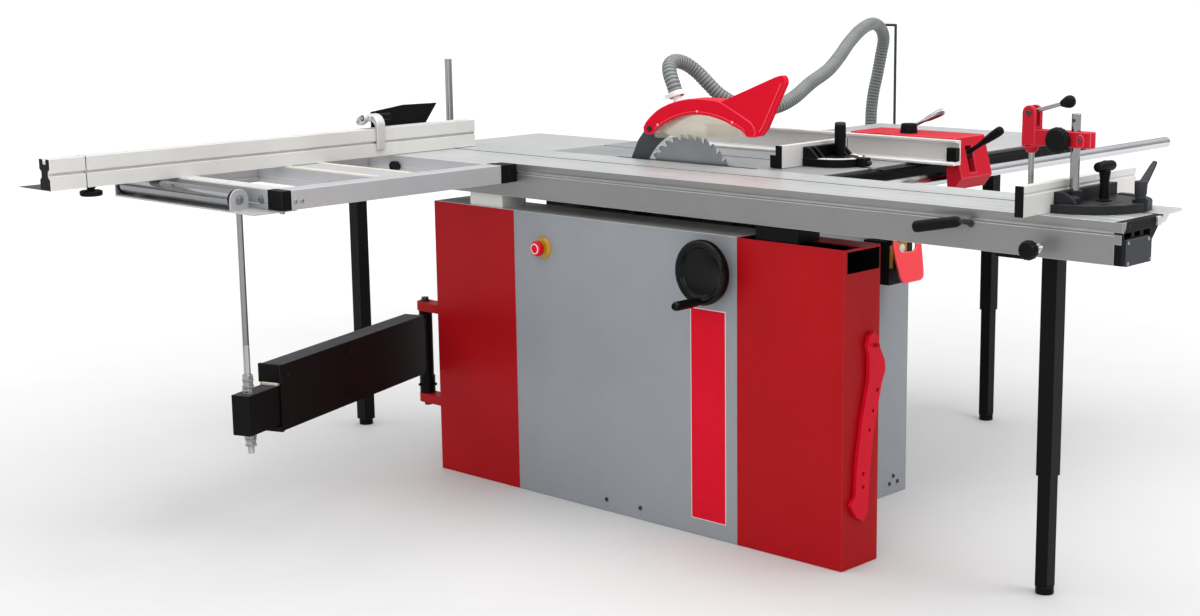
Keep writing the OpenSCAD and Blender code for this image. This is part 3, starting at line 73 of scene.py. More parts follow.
def aim_camera():
    """Places the camera from its solved position, turn and lens."""
    spot = (3.1789, -3.6128, 1.3716)
    yaw, pitch, roll = 0.7524, -0.1908, -0.0103
    forward = Vector((-math.sin(yaw) * math.cos(pitch), math.cos(yaw) * math.cos(pitch), math.sin(pitch)))
    level = forward.cross(Vector(UP)).normalized()
    rise = level.cross(forward)
    right = math.cos(roll) * level + math.sin(roll) * rise
    up = math.cos(roll) * rise - math.sin(roll) * level
    data = bpy.data.cameras.new("camera")
    data.sensor_width = 36.0
    data.lens = 57.65
    data.shift_x = -0.0420
    data.shift_y = 0.0107
    data.clip_end = 200.0
    camera = bpy.data.objects.new("camera", data)
    bpy.context.scene.collection.objects.link(camera)
    turn = Matrix((right, up, -forward)).transposed()
    camera.matrix_world = Matrix.Translation(spot) @ turn.to_4x4()
    bpy.context.scene.camera = camera


aim_camera()


# Finishes

def linear(code, alpha=1.0):
    """Turns an sRGB hex code into the linear colour that a shader socket takes."""
    parts = [int(code[i:i + 2], 16) / 255 for i in (0, 2, 4)]
    parts = [p / 12.92 if p <= 0.04045 else ((p + 0.055) / 1.055) ** 2.4 for p in parts]
    return (*parts, alpha)


def add_node(tree, kind, inputs=None, **settings):
    """Adds one node, with its settings, and sets or links its inputs by name."""
    node = tree.nodes.new(kind)
    for name, value in settings.items():
        setattr(node, name, value)
    for name, value in (inputs or {}).items():
        if isinstance(value, bpy.types.NodeSocket):
            tree.links.new(value, node.inputs[name])
        else:
            node.inputs[name].default_value = value
    return node


def surface(name, tone, shade, rough=(0.4, 0.5), mottle=160.0, grain=2.5, bump=0.08, stretch=(1, 1, 1),
            sockets=None):
    """A finish whose colour drifts between two tones over mottle mm, with a grain of so many mm in its
    roughness and bump. Stretch below 1 draws the grain out into lines along that axis."""
    material = bpy.data.materials.new(name)
    material.use_nodes = True
    tree = material.node_tree
    shader = tree.nodes["Principled BSDF"]
    for socket, value in (sockets or {}).items():
        shader.inputs[socket].default_value = value
    place = add_node(tree, "ShaderNodeTexCoord").outputs["Object"]
    lines = add_node(tree, "ShaderNodeMapping", {"Vector": place, "Scale": stretch}).outputs["Vector"]
    cloud = add_node(tree, "ShaderNodeTexNoise", {
        "Vector": place, "Scale": 1 / (mottle * MM), "Detail": 4.0, "Roughness": 0.6})
    fine = add_node(tree, "ShaderNodeTexNoise", {"Vector": lines, "Scale": 1 / (grain * MM), "Detail": 2.0})
    tint = add_node(tree, "ShaderNodeValToRGB", {"Fac": cloud.outputs["Fac"]})
    tint.color_ramp.elements[0].position = 0.32
    tint.color_ramp.elements[0].color = linear(shade)
    tint.color_ramp.elements[1].position = 0.68
    tint.color_ramp.elements[1].color = linear(tone)
    sheen = add_node(tree, "ShaderNodeMapRange", {
        "Value": fine.outputs["Fac"], "From Min": 0.3, "From Max": 0.7,
        "To Min": rough[0], "To Max": rough[1]})
    relief = add_node(tree, "ShaderNodeBump", {
        "Height": fine.outputs["Fac"], "Strength": bump, "Distance": grain * MM})
    tree.links.new(tint.outputs["Color"], shader.inputs["Base Color"])
    tree.links.new(sheen.outputs["Result"], shader.inputs["Roughness"])
    tree.links.new(relief.outputs["Normal"], shader.inputs["Normal"])
    return material


def wear_and_highlight(name, tone, shade, edge, **look):
    """A finish and its lighter edge tone along corners: wear from handling, and a painted highlight."""
    return [surface(name, tone, shade, **look), surface(name + "_edge", edge, tone, **look)]


METAL = {"Metallic": 1.0}
SATIN = {"Specular IOR Level": 0.08}
LINES_ALONG_X = (0.01, 1, 1)
LINES_ALONG_Y = (1, 0.01, 1)
POLISHED = {"grain": 3.0, "bump": 0.01, "sockets": METAL}
NYLON = {"rough": (0.42, 0.52), "grain": 1.4, "bump": 0.1, "sockets": SATIN}
ABS = {"grain": 1.6, "bump": 0.04, "sockets": SATIN}
PVC = {"mottle": 60.0, "grain": 2.0, "bump": 0.1}
FINISHES = {
    # powder coat: slight orange peel, drawn a little coarse so that it shows, and a soft satin gloss
    "red_paint": wear_and_highlight("powder_coated_red_steel", "AC1219", "A61017", "C4383D", rough=(0.36, 0.44),
                      bump=0.03, sockets=SATIN),
    "grey_paint": wear_and_highlight("powder_coated_grey_steel", "969A9F", "92969B", "B4B7BA", rough=(0.4, 0.48),
                       bump=0.03, sockets=SATIN),
    # pale grey paint, made paler still as painted light against the shade under the table
    "light_paint_and_painted_light": wear_and_highlight("light_grey_steel_painted_lighter", "E8E8E5", "DEDEDB", "F0F0EE", rough=(0.45, 0.55)),
    "black_paint": wear_and_highlight("powder_coated_black_steel", "0F0F10", "0C0C0D", "2C2C2E", rough=(0.34, 0.44),
                        bump=0.05, sockets=SATIN),
    "sheet_table": wear_and_highlight("painted_sheet_table", "A8AAAB", "A1A3A5", "C4C5C7", rough=(0.4, 0.5)),
    # black paint on the arm's upward faces: patchy with workshop dust, and lighter as a painted sheen
    "dust_and_sheen_black": wear_and_highlight("black_paint_dust_and_sheen", "444549", "3A3B3F", "77787C", rough=(0.5, 0.6), mottle=60.0,
                        sockets=SATIN),
    # enamel on castings: a little duller than the moulded guard
    "red_enamel": wear_and_highlight("enamelled_red_casting", "BC1A2C", "B41829", "D04E5C", rough=(0.38, 0.48), bump=0.05,
                       sockets=SATIN),
    "motor_paint": wear_and_highlight("motor_enamel", "3F5F7C", "36546F", "6A859C", rough=(0.4, 0.5)),
    # ground cast iron: fine lines left by the grinding wheel along the feed
    "cast_table": wear_and_highlight("ground_cast_iron", "989A9B", "909294", "BFC0C2", rough=(0.5, 0.6), grain=1.2,
                       stretch=(0.04, 1, 1), bump=0.05, sockets={"Metallic": 0.6}),
    # rough castings: the sand's texture shows through
    "grey_iron": wear_and_highlight("painted_grey_iron", "6E7276", "62666A", "8B8E91", rough=(0.5, 0.62), grain=3.0,
                      bump=0.2),
    "cast_alloy": wear_and_highlight("sand_cast_aluminium", "D2D0CF", "C6C4C3", "E2E1E0", rough=(0.45, 0.6), grain=2.0,
                       bump=0.2, sockets={"Metallic": 0.7}),
    # clear anodised extrusions: die lines along the length and a dull even gloss
    "aluminium": wear_and_highlight("anodised_aluminium_along_x", "D2D4D4", "CACCCC", "E0E1E1", rough=(0.36, 0.44),
                      grain=1.6, stretch=LINES_ALONG_X, bump=0.03, sockets={"Metallic": 0.8}),
    "aluminium_y": wear_and_highlight("anodised_aluminium_along_y", "BCBDBF", "B5B6B8", "DADBDC", rough=(0.38, 0.46),
                        grain=1.6, stretch=LINES_ALONG_Y, bump=0.03, sockets={"Metallic": 0.45}),
    # the table's upright faces: a darker copy of the aluminium, painted shade against its lit top
    "shaded_side_aluminium": wear_and_highlight("aluminium_with_painted_shade", "8D8E8D", "888988", "C9CACA", rough=(0.42, 0.5),
                           grain=1.6, stretch=LINES_ALONG_X, bump=0.03, sockets={"Metallic": 0.7}),
    # silver-white anodised fences: paler and flatter than the table's extrusion
    "fence_white": wear_and_highlight("white_anodised_aluminium", "D7D6D3", "CFCECB", "EDEDEC", rough=(0.4, 0.5),
                        grain=1.6, stretch=LINES_ALONG_Y, bump=0.02, sockets={"Metallic": 0.2}),
    # black anodising: an even dark grey that keeps a soft gloss
    "black_anodised": wear_and_highlight("black_anodised_aluminium", "2B2C2E", "242527", "4A4B4D", rough=(0.36, 0.46),
                           sockets=SATIN),
    # chrome: bright, with faint polishing drift
    "chrome_bar": wear_and_highlight("hard_chrome", "D6D7DA", "CDCED2", "E4E4E6", rough=(0.16, 0.24), **POLISHED),
    # a darker copy of the chrome: painted shade for its dark reflections
    "shaded_chrome": wear_and_highlight("shaded_chrome", "8B8C8E", "818284", "B5B6B7", rough=(0.09, 0.15), **POLISHED),
    # zinc plate: pale, with a broken gloss
    "zinc_sheet": wear_and_highlight("zinc_plated_sheet", "BFC0C1", "B4B5B6", "D4D5D6", rough=(0.36, 0.46),
                       sockets={"Metallic": 0.6}),
    "zinc_bolts": wear_and_highlight("zinc_plated_steel", "A9ABAC", "96989A", "C4C5C6", rough=(0.3, 0.42), sockets=METAL),
    # steels: turning marks round the bars, an even grind on the blade, dull black on screws and knife
    "bright_steel": wear_and_highlight("turned_steel", "A5A6A6", "979898", "C4C5C5", rough=(0.22, 0.34), grain=0.8,
                         stretch=(1, 1, 6), bump=0.04, sockets=METAL),
    "blade_steel": wear_and_highlight("ground_blade_steel", "9EA1A4", "92959A", "C9CBCD", rough=(0.34, 0.46), grain=1.0,
                        bump=0.03, sockets=METAL),
    "carbide": wear_and_highlight("brazed_carbide", "7C7F83", "707377", "B5B7BA", rough=(0.3, 0.4), sockets=METAL),
    "dark_steel": wear_and_highlight("blackened_steel", "3B3D40", "303235", "5A5C5F", rough=(0.36, 0.5),
                       sockets={"Metallic": 0.6}),
    "slate_steel": wear_and_highlight("phosphated_steel_plate", "353941", "2C3037", "50545C", rough=(0.4, 0.52)),
    # moulded plastics: fine spark-eroded texture, drawn coarse so that it shows
    "black_plastic": wear_and_highlight("moulded_black_nylon", "101112", "0D0E0E", "2A2B2D", **NYLON),
    "ratchet_grey": wear_and_highlight("moulded_dark_grey_nylon", "3C3E42", "36383C", "5A5C60", **NYLON),
    "red_plastic": wear_and_highlight("moulded_red_abs", "D90C29", "D20B26", "E84A60", rough=(0.34, 0.44), **ABS),
    "pale_red_plastic": wear_and_highlight("moulded_pale_red_abs", "EC4A52", "E6444C", "F28A8F", rough=(0.36, 0.46),
                             **ABS),
    "yellow_plastic": wear_and_highlight("moulded_yellow_abs", "BE8C16", "B0810F", "D6AC4E", rough=(0.36, 0.46),
                           grain=1.6),
    "white_plastic": wear_and_highlight("moulded_white_nylon", "E9E9E6", "DCDCD8", "F4F4F2", rough=(0.4, 0.5), grain=1.6),
    "cream_nylon": wear_and_highlight("cream_nylon_strip", "D9D0BC", "CBC1AC", "E8E2D4", rough=(0.45, 0.55), grain=1.6),
    # bakelite: pressed smooth, near black and glossy
    "bakelite": wear_and_highlight("glossy_black_bakelite", "0B0C0D", "090A0A", "1E1F20", rough=(0.22, 0.28), grain=1.6,
                     bump=0.01, sockets={"Specular IOR Level": 0.13}),
    # rubber: matt and dark
    "belt_rubber": wear_and_highlight("ribbed_belt_rubber", "1B1B1C", "141415", "2C2C2D", rough=(0.7, 0.85)),
    # soft PVC hose: satin ribs, with painted shade in the valleys between them
    "hose_plastic": [surface("ribbed_grey_pvc", "848888", "767A7A", rough=(0.36, 0.5), **PVC)],
    "hose_valley": [surface("pvc_valley_painted_shade", "5E6262", "545858", rough=(0.5, 0.6), **PVC)],
    # polycarbonate: clear, yellowed a little by dust
    "clear_window": [surface("clear_polycarbonate", "DED4BE", "D4C9B2", rough=(0.08, 0.14), bump=0.01,
                             sockets={"Transmission Weight": 0.6, "IOR": 1.585, "Alpha": 0.42})],
}
BODY_OF = {node: body for body, nodes in frame["record"]["behaviour"]["bodies"].items() for node in nodes}


# Outlines

def oblong(low, high):
    """A rectangle between two corners."""
    (a0, b0), (a1, b1) = low, high
    return [(a0, b0), (a1, b0), (a1, b1), (a0, b1)]


def grooved(low, high, share=0.3, depth=1.6, width=5.0):
    """A rectangle between two corners with a shallow groove at this share of both upright sides."""
    (a0, b0), (a1, b1) = low, high
    under = b0 + (b1 - b0) * share - width / 2
    over = under + width
    return [(a0, b0), (a1, b0), (a1, under), (a1 - depth, under), (a1 - depth, over), (a1, over), (a1, b1),
            (a0, b1), (a0, over), (a0 + depth, over), (a0 + depth, under), (a0, under)]


def rounded(outline, r, steps=5):
    """Rounds the corners of an outline, each by as much of r as its sides allow."""
    spots = [Vector(p) for p in outline]
    done = []
    for k, corner in enumerate(spots):
        before, after = spots[k - 1] - corner, spots[(k + 1) % len(spots)] - corner
        reach = min(r, before.length * 0.45, after.length * 0.45)
        a, b = corner + before.normalized() * reach, corner + after.normalized() * reach
        for i in range(steps + 1):
            t = i / steps
            done.append((1 - t) ** 2 * a + 2 * t * (1 - t) * corner + t * t * b)
    return [tuple(p) for p in done]


def arc(middle, r, start, end, steps):
    """Points on an arc about a middle, from one angle in degrees to another."""
    angles = [math.radians(start + (end - start) * i / steps) for i in range(steps + 1)]
    return [(middle[0] + r * math.cos(a), middle[1] + r * math.sin(a)) for a in angles]


def band(middle, inner, outer, start, end, steps):
    """A flat ring's segment between two radii."""
    return arc(middle, outer, start, end, steps) + arc(middle, inner, end, start, steps)


# Modelling helpers

def block(bm, low, high, place=Matrix()):
    """A box between two corners, moved to its place."""
    middle = [(a + b) / 2 for a, b in zip(low, high)]
    sides = [b - a for a, b in zip(low, high)]
    fitted = place @ Matrix.Translation(middle) @ Matrix.Diagonal((*sides, 1))
    bmesh.ops.create_cube(bm, size=1.0, matrix=fitted)


def upright(base, way):
    """The frame whose Z runs along way from base."""
    return Matrix.Translation(base) @ Vector(way).to_track_quat("Z", "Y").to_matrix().to_4x4()


def rod(bm, start, end, r, tip=None, sides=32):
    """A round, tapered or many-sided bar between two points."""
    way = Vector(end) - Vector(start)
    place = upright((Vector(start) + Vector(end)) / 2, way)
    bmesh.ops.create_cone(bm, cap_ends=True, segments=sides, radius1=r, radius2=r if tip is None else tip,
                          depth=way.length, matrix=place)


def lathe(bm, base, way, outline, sides=48):
    """Spins an outline of (radius, height) pairs about the line from base along way."""
    place = upright(base, way)
    corners = [bm.verts.new(place @ Vector((r, 0, h))) for r, h in outline]
    edges = [bm.edges.new(pair) for pair in zip(corners, corners[1:])]
    bmesh.ops.spin(bm, geom=corners + edges, cent=base, axis=place.col[2].to_3d(), steps=sides,
                   angle=math.tau, use_merge=True)
    bmesh.ops.remove_doubles(bm, verts=bm.verts, dist=0.001)


def grown_verts(bm, face):
    """Extrudes a face and gives the corners of the new end."""
    grown = bmesh.ops.extrude_face_region(bm, geom=[face])["geom"]
    return [v for v in grown if isinstance(v, bmesh.types.BMVert)]


def plate(bm, outline, axis, start, end):
    """Draws an outline, given in the other two axes in their order, out along an axis from start to end."""
    corners = []
    for pair in outline:
        spot = list(pair)
        spot.insert(axis, start)
        corners.append(bm.verts.new(spot))
    way = Vector((0, 0, 0))
    way[axis] = end - start
    bmesh.ops.translate(bm, verts=grown_verts(bm, bm.faces.new(corners)), vec=way)


def loft(bm, sections):
    """One skin through sections that have the same number of corners, closed at both ends."""
    rings = [[bm.verts.new(p) for p in section] for section in sections]
    for a, b in zip(rings, rings[1:]):
        for i in range(len(a)):
            bm.faces.new((a[i - 1], a[i], b[i], b[i - 1]))
    bm.faces.new(rings[0])
    bm.faces.new(rings[-1])
    bmesh.ops.remove_doubles(bm, verts=bm.verts, dist=0.01)


def lobed(bm, base, way, r, t, lobes, depth):
    """A knob head whose edge waves in and out, domed on both faces."""
    low_share, rim_share, inset_share = 0.22, 0.5, 0.16
    place = upright(base, way)
    out = place.col[2].to_3d()
    ring = []
    steps = lobes * 8
    for i in range(steps):
        a = math.tau * i / steps
        reach = r - depth * (0.5 - 0.5 * math.cos(a * lobes))
        ring.append(bm.verts.new(place @ Vector((reach * math.cos(a), reach * math.sin(a), t * low_share))))
    top = grown_verts(bm, bm.faces.new(ring))
    bmesh.ops.translate(bm, verts=top, vec=out * t * rim_share)
    for verts, lift in ((ring, -low_share), (top, 1 - low_share - rim_share)):
        cap = next(f for f in verts[0].link_faces if all(v in verts for v in f.verts))
        bmesh.ops.inset_region(bm, faces=[cap], thickness=r * inset_share, use_even_offset=False)
        bmesh.ops.translate(bm, verts=cap.verts, vec=out * t * lift)


def bolt(bm, spot, way, r, h):
    """A hexagon bolt head on its washer."""
    washer_share, wide_share, crown_share = 0.25, 1.35, 0.94
    rise = Vector(way).normalized() * h
    base = Vector(spot)
    seat = base + rise * washer_share
    rod(bm, base, seat, r * wide_share, sides=20)
    rod(bm, seat, base + rise, r, r * crown_share, sides=6)


SCREW_SHARES = [(0, 0), (1, 0), (1, 0.35), (0.8, 0.55), (0.45, 0.6), (0.4, 0.3), (0, 0.3)]


def screw(bm, spot, way, r):
    """A domed socket screw head."""
    lathe(bm, spot, way, [(r * out, r * up) for out, up in SCREW_SHARES], sides=16)


# Pieces

def finish_piece(name, bm, body, finish, nodes=(), ease=0.0, steps=2, angle=35, scale=MM):
    """Makes a piece of a drawn mesh, eases its edges, gives it its finish and lets it ride on its body."""
    bmesh.ops.transform(bm, matrix=Matrix.Scale(scale, 4), verts=bm.verts)
    bmesh.ops.recalc_face_normals(bm, faces=bm.faces)
    mesh = bpy.data.meshes.new(name)
    bm.to_mesh(mesh)
    bm.free()
    piece = bpy.data.objects.new(name, mesh)
    bpy.context.scene.collection.objects.link(piece)
    for material in FINISHES[finish]:
        mesh.materials.append(material)
    mesh.shade_smooth()
    mesh.set_sharp_from_angle(angle=math.radians(angle))
    if ease:
        soft = piece.modifiers.new("eased_edges", "BEVEL")
        soft.width = ease * MM
        soft.segments = steps
        soft.limit_method = "ANGLE"
        soft.angle_limit = math.radians(angle)
        # the eased edges take the finish's last material, its lighter edge tone: edge wear and painted
        # highlight
        soft.material = len(FINISHES[finish]) - 1
        soft.harden_normals = True
    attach(piece, body)
    if nodes:
        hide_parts(*nodes)
    return piece


def boxed(name, body, finish, ease, *boxes):
    """A piece of boxes, each given by two corners."""
    bm = bmesh.new()
    for low, high in boxes:
        block(bm, low, high)
    finish_piece(name, bm, body, finish, ease=ease)


def turned(name, body, finish, base, way, outline, nodes=(), ease=0.0, sides=48):
    """A piece spun from one outline."""
    bm = bmesh.new()
    lathe(bm, base, way, outline, sides)
    finish_piece(name, bm, body, finish, nodes, ease)


def drawn(name, body, finish, outline, axis, span, nodes=(), ease=0.0, steps=2):
    """A piece drawn out from one outline along an axis."""
    bm = bmesh.new()
    plate(bm, outline, axis, *span)
    return finish_piece(name, bm, body, finish, nodes, ease, steps)


def dressed(node, finish, ease=1.0):
    """A copy of a CAD node with its flat faces joined, its edges eased and its finish on."""
    bm = bmesh.new()
    bm.from_mesh(frame["nodes"][node].data)
    bmesh.ops.remove_doubles(bm, verts=bm.verts, dist=0.00002)
    bmesh.ops.dissolve_limit(bm, angle_limit=math.radians(1.0), verts=bm.verts, edges=bm.edges)
    return finish_piece(node + "_dressed", bm, BODY_OF[node], finish, [node], ease, scale=1.0)


def repaint(piece, finish, wanted):
    """Gives another finish to the faces that the test wants, by their centre and normal."""
    piece.data.materials.append(FINISHES[finish][0])
    for face in piece.data.polygons:
        if wanted(face.center / MM, face.normal):
            face.material_index = len(piece.data.materials) - 1


# Dust hose

HOSE_ROUTE = [
    (-54, -54, 1013), (-66, -54, 1041), (-84, -47, 1068), (-101, -28, 1087), (-108, 2, 1095),
    (-104, 37, 1086), (-88, 62, 1064), (-65, 77, 1036), (-43, 92, 1010), (-13, 117, 986), (21, 152, 974),
    (38, 192, 971), (44, 237, 977), (33, 307, 993), (4, 407, 1021), (-24, 517, 1048), (-62, 617, 1078),
    (-113, 727, 1110), (-170, 857, 1140), (-233, 997, 1152), (-274, 1093, 1135), (-298, 1143, 1101),
    (-316, 1155, 1050), (-331, 1158, 990), (-346, 1158, 926), (-353, 1158, 850), (-352, 1158, 700),
    (-345, 1145, 560), (-330, 1090, 450), (-300, 980, 380), (-260, 800, 350), (-225, 620, 370),
    (-212, 480, 402), (-210, 395, 415), (-210, 330, 415),
]
HOSE_R = 18.5
RIB_PITCH = 9.6
RIB_SHARES = [0.92, 0.92, 0.98, 1.0, 1.0, 0.98]
SHADED_VALLEY_SHARE = 0.94


def smooth_route(route, spans=24):
    """A smooth curve through the route's points."""
    spots = [Vector(p) for p in route]
    ends = [spots[0]] + spots + [spots[-1]]
    curve = []
    for a, b, c, d in zip(ends, ends[1:], ends[2:], ends[3:]):
        for i in range(spans):
            t = i / spans
            curve.append(0.5 * (2 * b + (c - a) * t + (2 * a - 5 * b + 4 * c - d) * t * t
                                + (3 * b - a - 3 * c + d) * t ** 3))
    return curve + [spots[-1]]


def even_route(curve, step):
    """Points along a curve, one for each step of its length."""
    done = [curve[0]]
    for a, b in zip(curve, curve[1:]):
        while (b - done[-1]).length >= step:
            done.append(done[-1] + (b - done[-1]).normalized() * step)
    return done


def make_hose():
    """The ribbed hose, swept along its route with ribs of an even pitch."""
    step = RIB_PITCH / len(RIB_SHARES)
    spots = even_route(smooth_route(HOSE_ROUTE), step)
    curve = bpy.data.curves.new("hose_curve", "CURVE")
    curve.dimensions = "3D"
    curve.bevel_depth = HOSE_R * MM
    curve.bevel_resolution = 7
    curve.use_fill_caps = True
    line = curve.splines.new("POLY")
    line.points.add(len(spots) - 1)
    for k, (point, spot) in enumerate(zip(line.points, spots)):
        point.co = (*(spot * MM), 1)
        point.radius = RIB_SHARES[k % len(RIB_SHARES)]
    swept = bpy.data.objects.new("hose_curve", curve)
    bpy.context.scene.collection.objects.link(swept)
    mesh = bpy.data.meshes.new_from_object(swept.evaluated_get(bpy.context.evaluated_depsgraph_get()))
    bpy.data.objects.remove(swept)
    mesh.materials.clear()
    mesh.materials.append(FINISHES["hose_plastic"][0])
    mesh.shade_smooth()
    hose = bpy.data.objects.new("ribbed_hose", mesh)
    bpy.context.scene.collection.objects.link(hose)
    tree = kdtree.KDTree(len(spots))
    for k, spot in enumerate(spots):
        tree.insert(spot, k)
    tree.balance()
    # the valleys between the ribs take the darker PVC: painted shade
    repaint(hose, "hose_valley", lambda spot, way: tree.find(spot)[2] < SHADED_VALLEY_SHARE * HOSE_R)
    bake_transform(hose)
    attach(hose, "base")
    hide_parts("dust_hose")


make_hose()


# CAD nodes that keep their shape, with eased edges

DRESSED = {
    "left_housing": ("red_paint", 1.6), "centre_housing": ("grey_paint", 1.6),
    "rear_cabinet": ("grey_paint", 1.6), "main_table": ("cast_table", 1.5),
    "side_table": ("sheet_table", 1.8), "outfeed_table": ("sheet_table", 1.8),
    "front_bar": ("black_paint", 1.2), "rip_rail": ("chrome_bar", 2.0), "leg_tubes": ("black_paint", 2.0),
    "front_leg_foot": ("black_paint", 2.0), "side_leg_foot": ("black_paint", 2.0),
    "end_caps": ("black_plastic", 1.2), "fence_post": ("bright_steel", 1.2),
    "stop_flap": ("black_plastic", 1.2), "mitre_base": ("black_anodised", 1.5),
    # clamp_post and arm_column take the darker chrome: painted shade
    "clamp_post": ("shaded_chrome", 1.0), "clamp_plunger": ("bright_steel", 0.8),
    "gauge_bar": ("bright_steel", 0.6), "switch_box": ("black_plastic", 1.5),
    "push_stick": ("red_plastic", 2.2), "arm_column": ("shaded_chrome", 0.8),
    "riving_knife": ("slate_steel", 0.4), "saw_blade": ("blade_steel", 0.2),
    "hose_rod": ("dark_steel", 0.6), "right_housing": ("red_paint", 1.6),
    # rail_beam is painted black as painted shade, where it lies under the sliding table
    "rail_beam": ("black_paint", 1.0), "swing_arm": ("black_paint", 1.6),
    "arm_extension": ("black_paint", 1.4),
}
INNER = {
    "trunnion": "grey_iron", "saw_carriage": "grey_iron", "motor": "motor_paint",
    "motor_pulley": "dark_steel", "arbor": "bright_steel", "drive_belt": "belt_rubber",
}


def shaded_inside_right_housing(spot, way):
    """The inner faces of the right housing, which is open at its end: painted black as painted shade."""
    return (SEAM_X + 2 < spot.x < HOUSING_X - 2 and FRONT_Y + 2 < spot.y < -193
            and 2 < spot.z < HOUSING_TOP - 1)


def dust_and_sheen_faces(spot, way):
    """The upward faces, which take dust and a painted sheen."""
    return way.z > 0.9


# the right housing's inside is painted black as painted shade
REPAINTED = {
    "right_housing": ("black_paint", shaded_inside_right_housing), "swing_arm": ("dust_and_sheen_black", dust_and_sheen_faces),
    # swing_arm and arm_extension: upward faces with dust and a painted sheen
    "arm_extension": ("dust_and_sheen_black", dust_and_sheen_faces),
}

for node, (finish, ease) in DRESSED.items():
    piece = dressed(node, finish, ease)
    if node in REPAINTED:
        repaint(piece, *REPAINTED[node])
for node, finish in INNER.items():
    cad = frame["nodes"][node]
    cad.data.materials.clear()
    cad.data.materials.append(FINISHES[finish][0])


# Controls on the front panel

def make_handwheel():
    """The dished handwheel with its deep rim and hub, and its turned grip."""
    x, y, z = 302, FRONT_Y - 42, 645
    bm = bmesh.new()
    lathe(bm, (x, y, z), FRONT, [
        (0, -6), (50, -6), (56, -13), (70, -13), (75, -9), (76, -4), (76, 6), (74.5, 10), (71, 12.8),
        (66, 13), (61, 11.5), (58, 8), (54, 3), (49, 1.5), (0, 1.5)])
    rod(bm, (x, y, z), (x, FRONT_Y - 0.3, z), 24)
    rod(bm, (x, y, z), (x, FRONT_Y + 60, z), 9)
    finish_piece("handwheel_disc", bm, "height_wheel", "bakelite", ["handwheel"], 0.8)
    turned("handwheel_grip", "height_wheel", "bakelite", (x, y + 2, z - 66), FRONT, [
        (0, 0), (8, 0), (9, 12), (8, 15), (10, 22), (11, 40), (11, 84), (10.6, 93), (8.5, 97.4), (5, 98),
        (4.6, 95), (0, 95)])


def make_stop_button():
    """The mushroom button with its white ring on a yellow collar."""
    spot = (-263, FRONT_Y, 643)
    turned("mushroom_button", "stop_button", "red_plastic", spot, FRONT, [
        (0, -10), (8, -10), (8, 17), (17.5, 17.5), (19, 20), (19, 26), (17.5, 30.5), (12, 32.6), (0, 33)],
        ["estop_button"], 0.5)
    turned("button_ring", "stop_button", "white_plastic", spot, FRONT, [
        (10.5, 32.2), (11, 33.4), (13.2, 32.9), (13.6, 31.2), (10.5, 32.2)])
    turned("button_collar", "base", "yellow_plastic", spot, FRONT, [
        (9, 0), (27, 0), (27, 2.5), (23, 8), (15, 10), (9, 10), (9, 0)], ease=0.4)


def make_panel_trim():
    """The light skin on the housing's top and left seat, brightened as painted light, the plain red stripe
    and the screws.
    """
    boxed("housing_top_skin", "base", "light_paint_and_painted_light", 0.3,
          ((-HOUSING_X + 0.5, FRONT_Y + 0.5, HOUSING_TOP), (SEAM_X - 0.5, -192, HOUSING_TOP + 0.8)),
          ((-540.6, -316.9, HOUSING_TOP + 0.4), (-419.4, -233.6, BEAM_LOW - 0.2)))
    drawn("panel_stripe", "base", "red_plastic", oblong((230, 42), (335, 549)), Y,
          (FRONT_Y - 0.7, FRONT_Y + 0.2), ease=0.1)
    drawn("stripe_border", "base", "white_plastic", oblong((228, 40), (337, 551)), Y,
          (FRONT_Y - 0.4, FRONT_Y + 0.2), ease=0.1)
    bm = bmesh.new()
    for x in (-55, 60):
        screw(bm, (x, FRONT_Y, 30), FRONT, 5.5)
    for y, z in ((252, 29), (268, 47), (286, 30)):
        screw(bm, (389, y, z), RIGHT, 5)
    finish_piece("panel_screws", bm, "base", "dark_steel", ease=0.2)


def make_switch():
    """The leaning flap with its finger opening, and the plates and buttons behind it."""
    bm = bmesh.new()
    plate(bm, rounded([
        (134, -112), (226, -112), (238, -20), (230, -3), (219, -3), (214, -38), (146, -38), (141, -3),
        (130, -3), (122, -20)], 20), X, 0.5, 7)
    rod(bm, (0, 142.3, 0), (0, 217.7, 0), 6.5)
    rod(bm, (0, 132, 0), (0, 228, 0), 3)
    lean = Matrix.Translation((475, 0, 682)) @ Matrix.Rotation(math.radians(-12), 4, "Y")
    bmesh.ops.transform(bm, matrix=lean, verts=bm.verts)
    finish_piece("flap_tongue", bm, "switch_cover", "pale_red_plastic", ["switch_flap"], 1.6, 3)
    box_x = 462
    boxed("switch_plates", "base", "yellow_plastic", 0.6,
          ((box_x, 134, 608), (box_x + 5.2, 147, 669)), ((box_x, 158, 636), (box_x + 5.2, 204, 669)))
    for name, finish, z, r, reach in (("start_button", "white_plastic", 652, 11, 8),
                                      ("stop_plunger", "red_plastic", 612, 13, 9)):
        bm = bmesh.new()
        rod(bm, (box_x + 2, 181, z), (box_x + reach, 181, z), r)
        finish_piece(name, bm, "base", finish, ease=0.8)


make_handwheel()
make_stop_button()
make_panel_trim()
make_switch()


# Sliding table and its trim

def top_groove(y):
    """The shallow groove along the table's top at y."""
    return [(y - 1.6, TABLE_TOP), (y - 1.2, TABLE_TOP - 2), (y + 1.2, TABLE_TOP - 2), (y + 1.6, TABLE_TOP)]


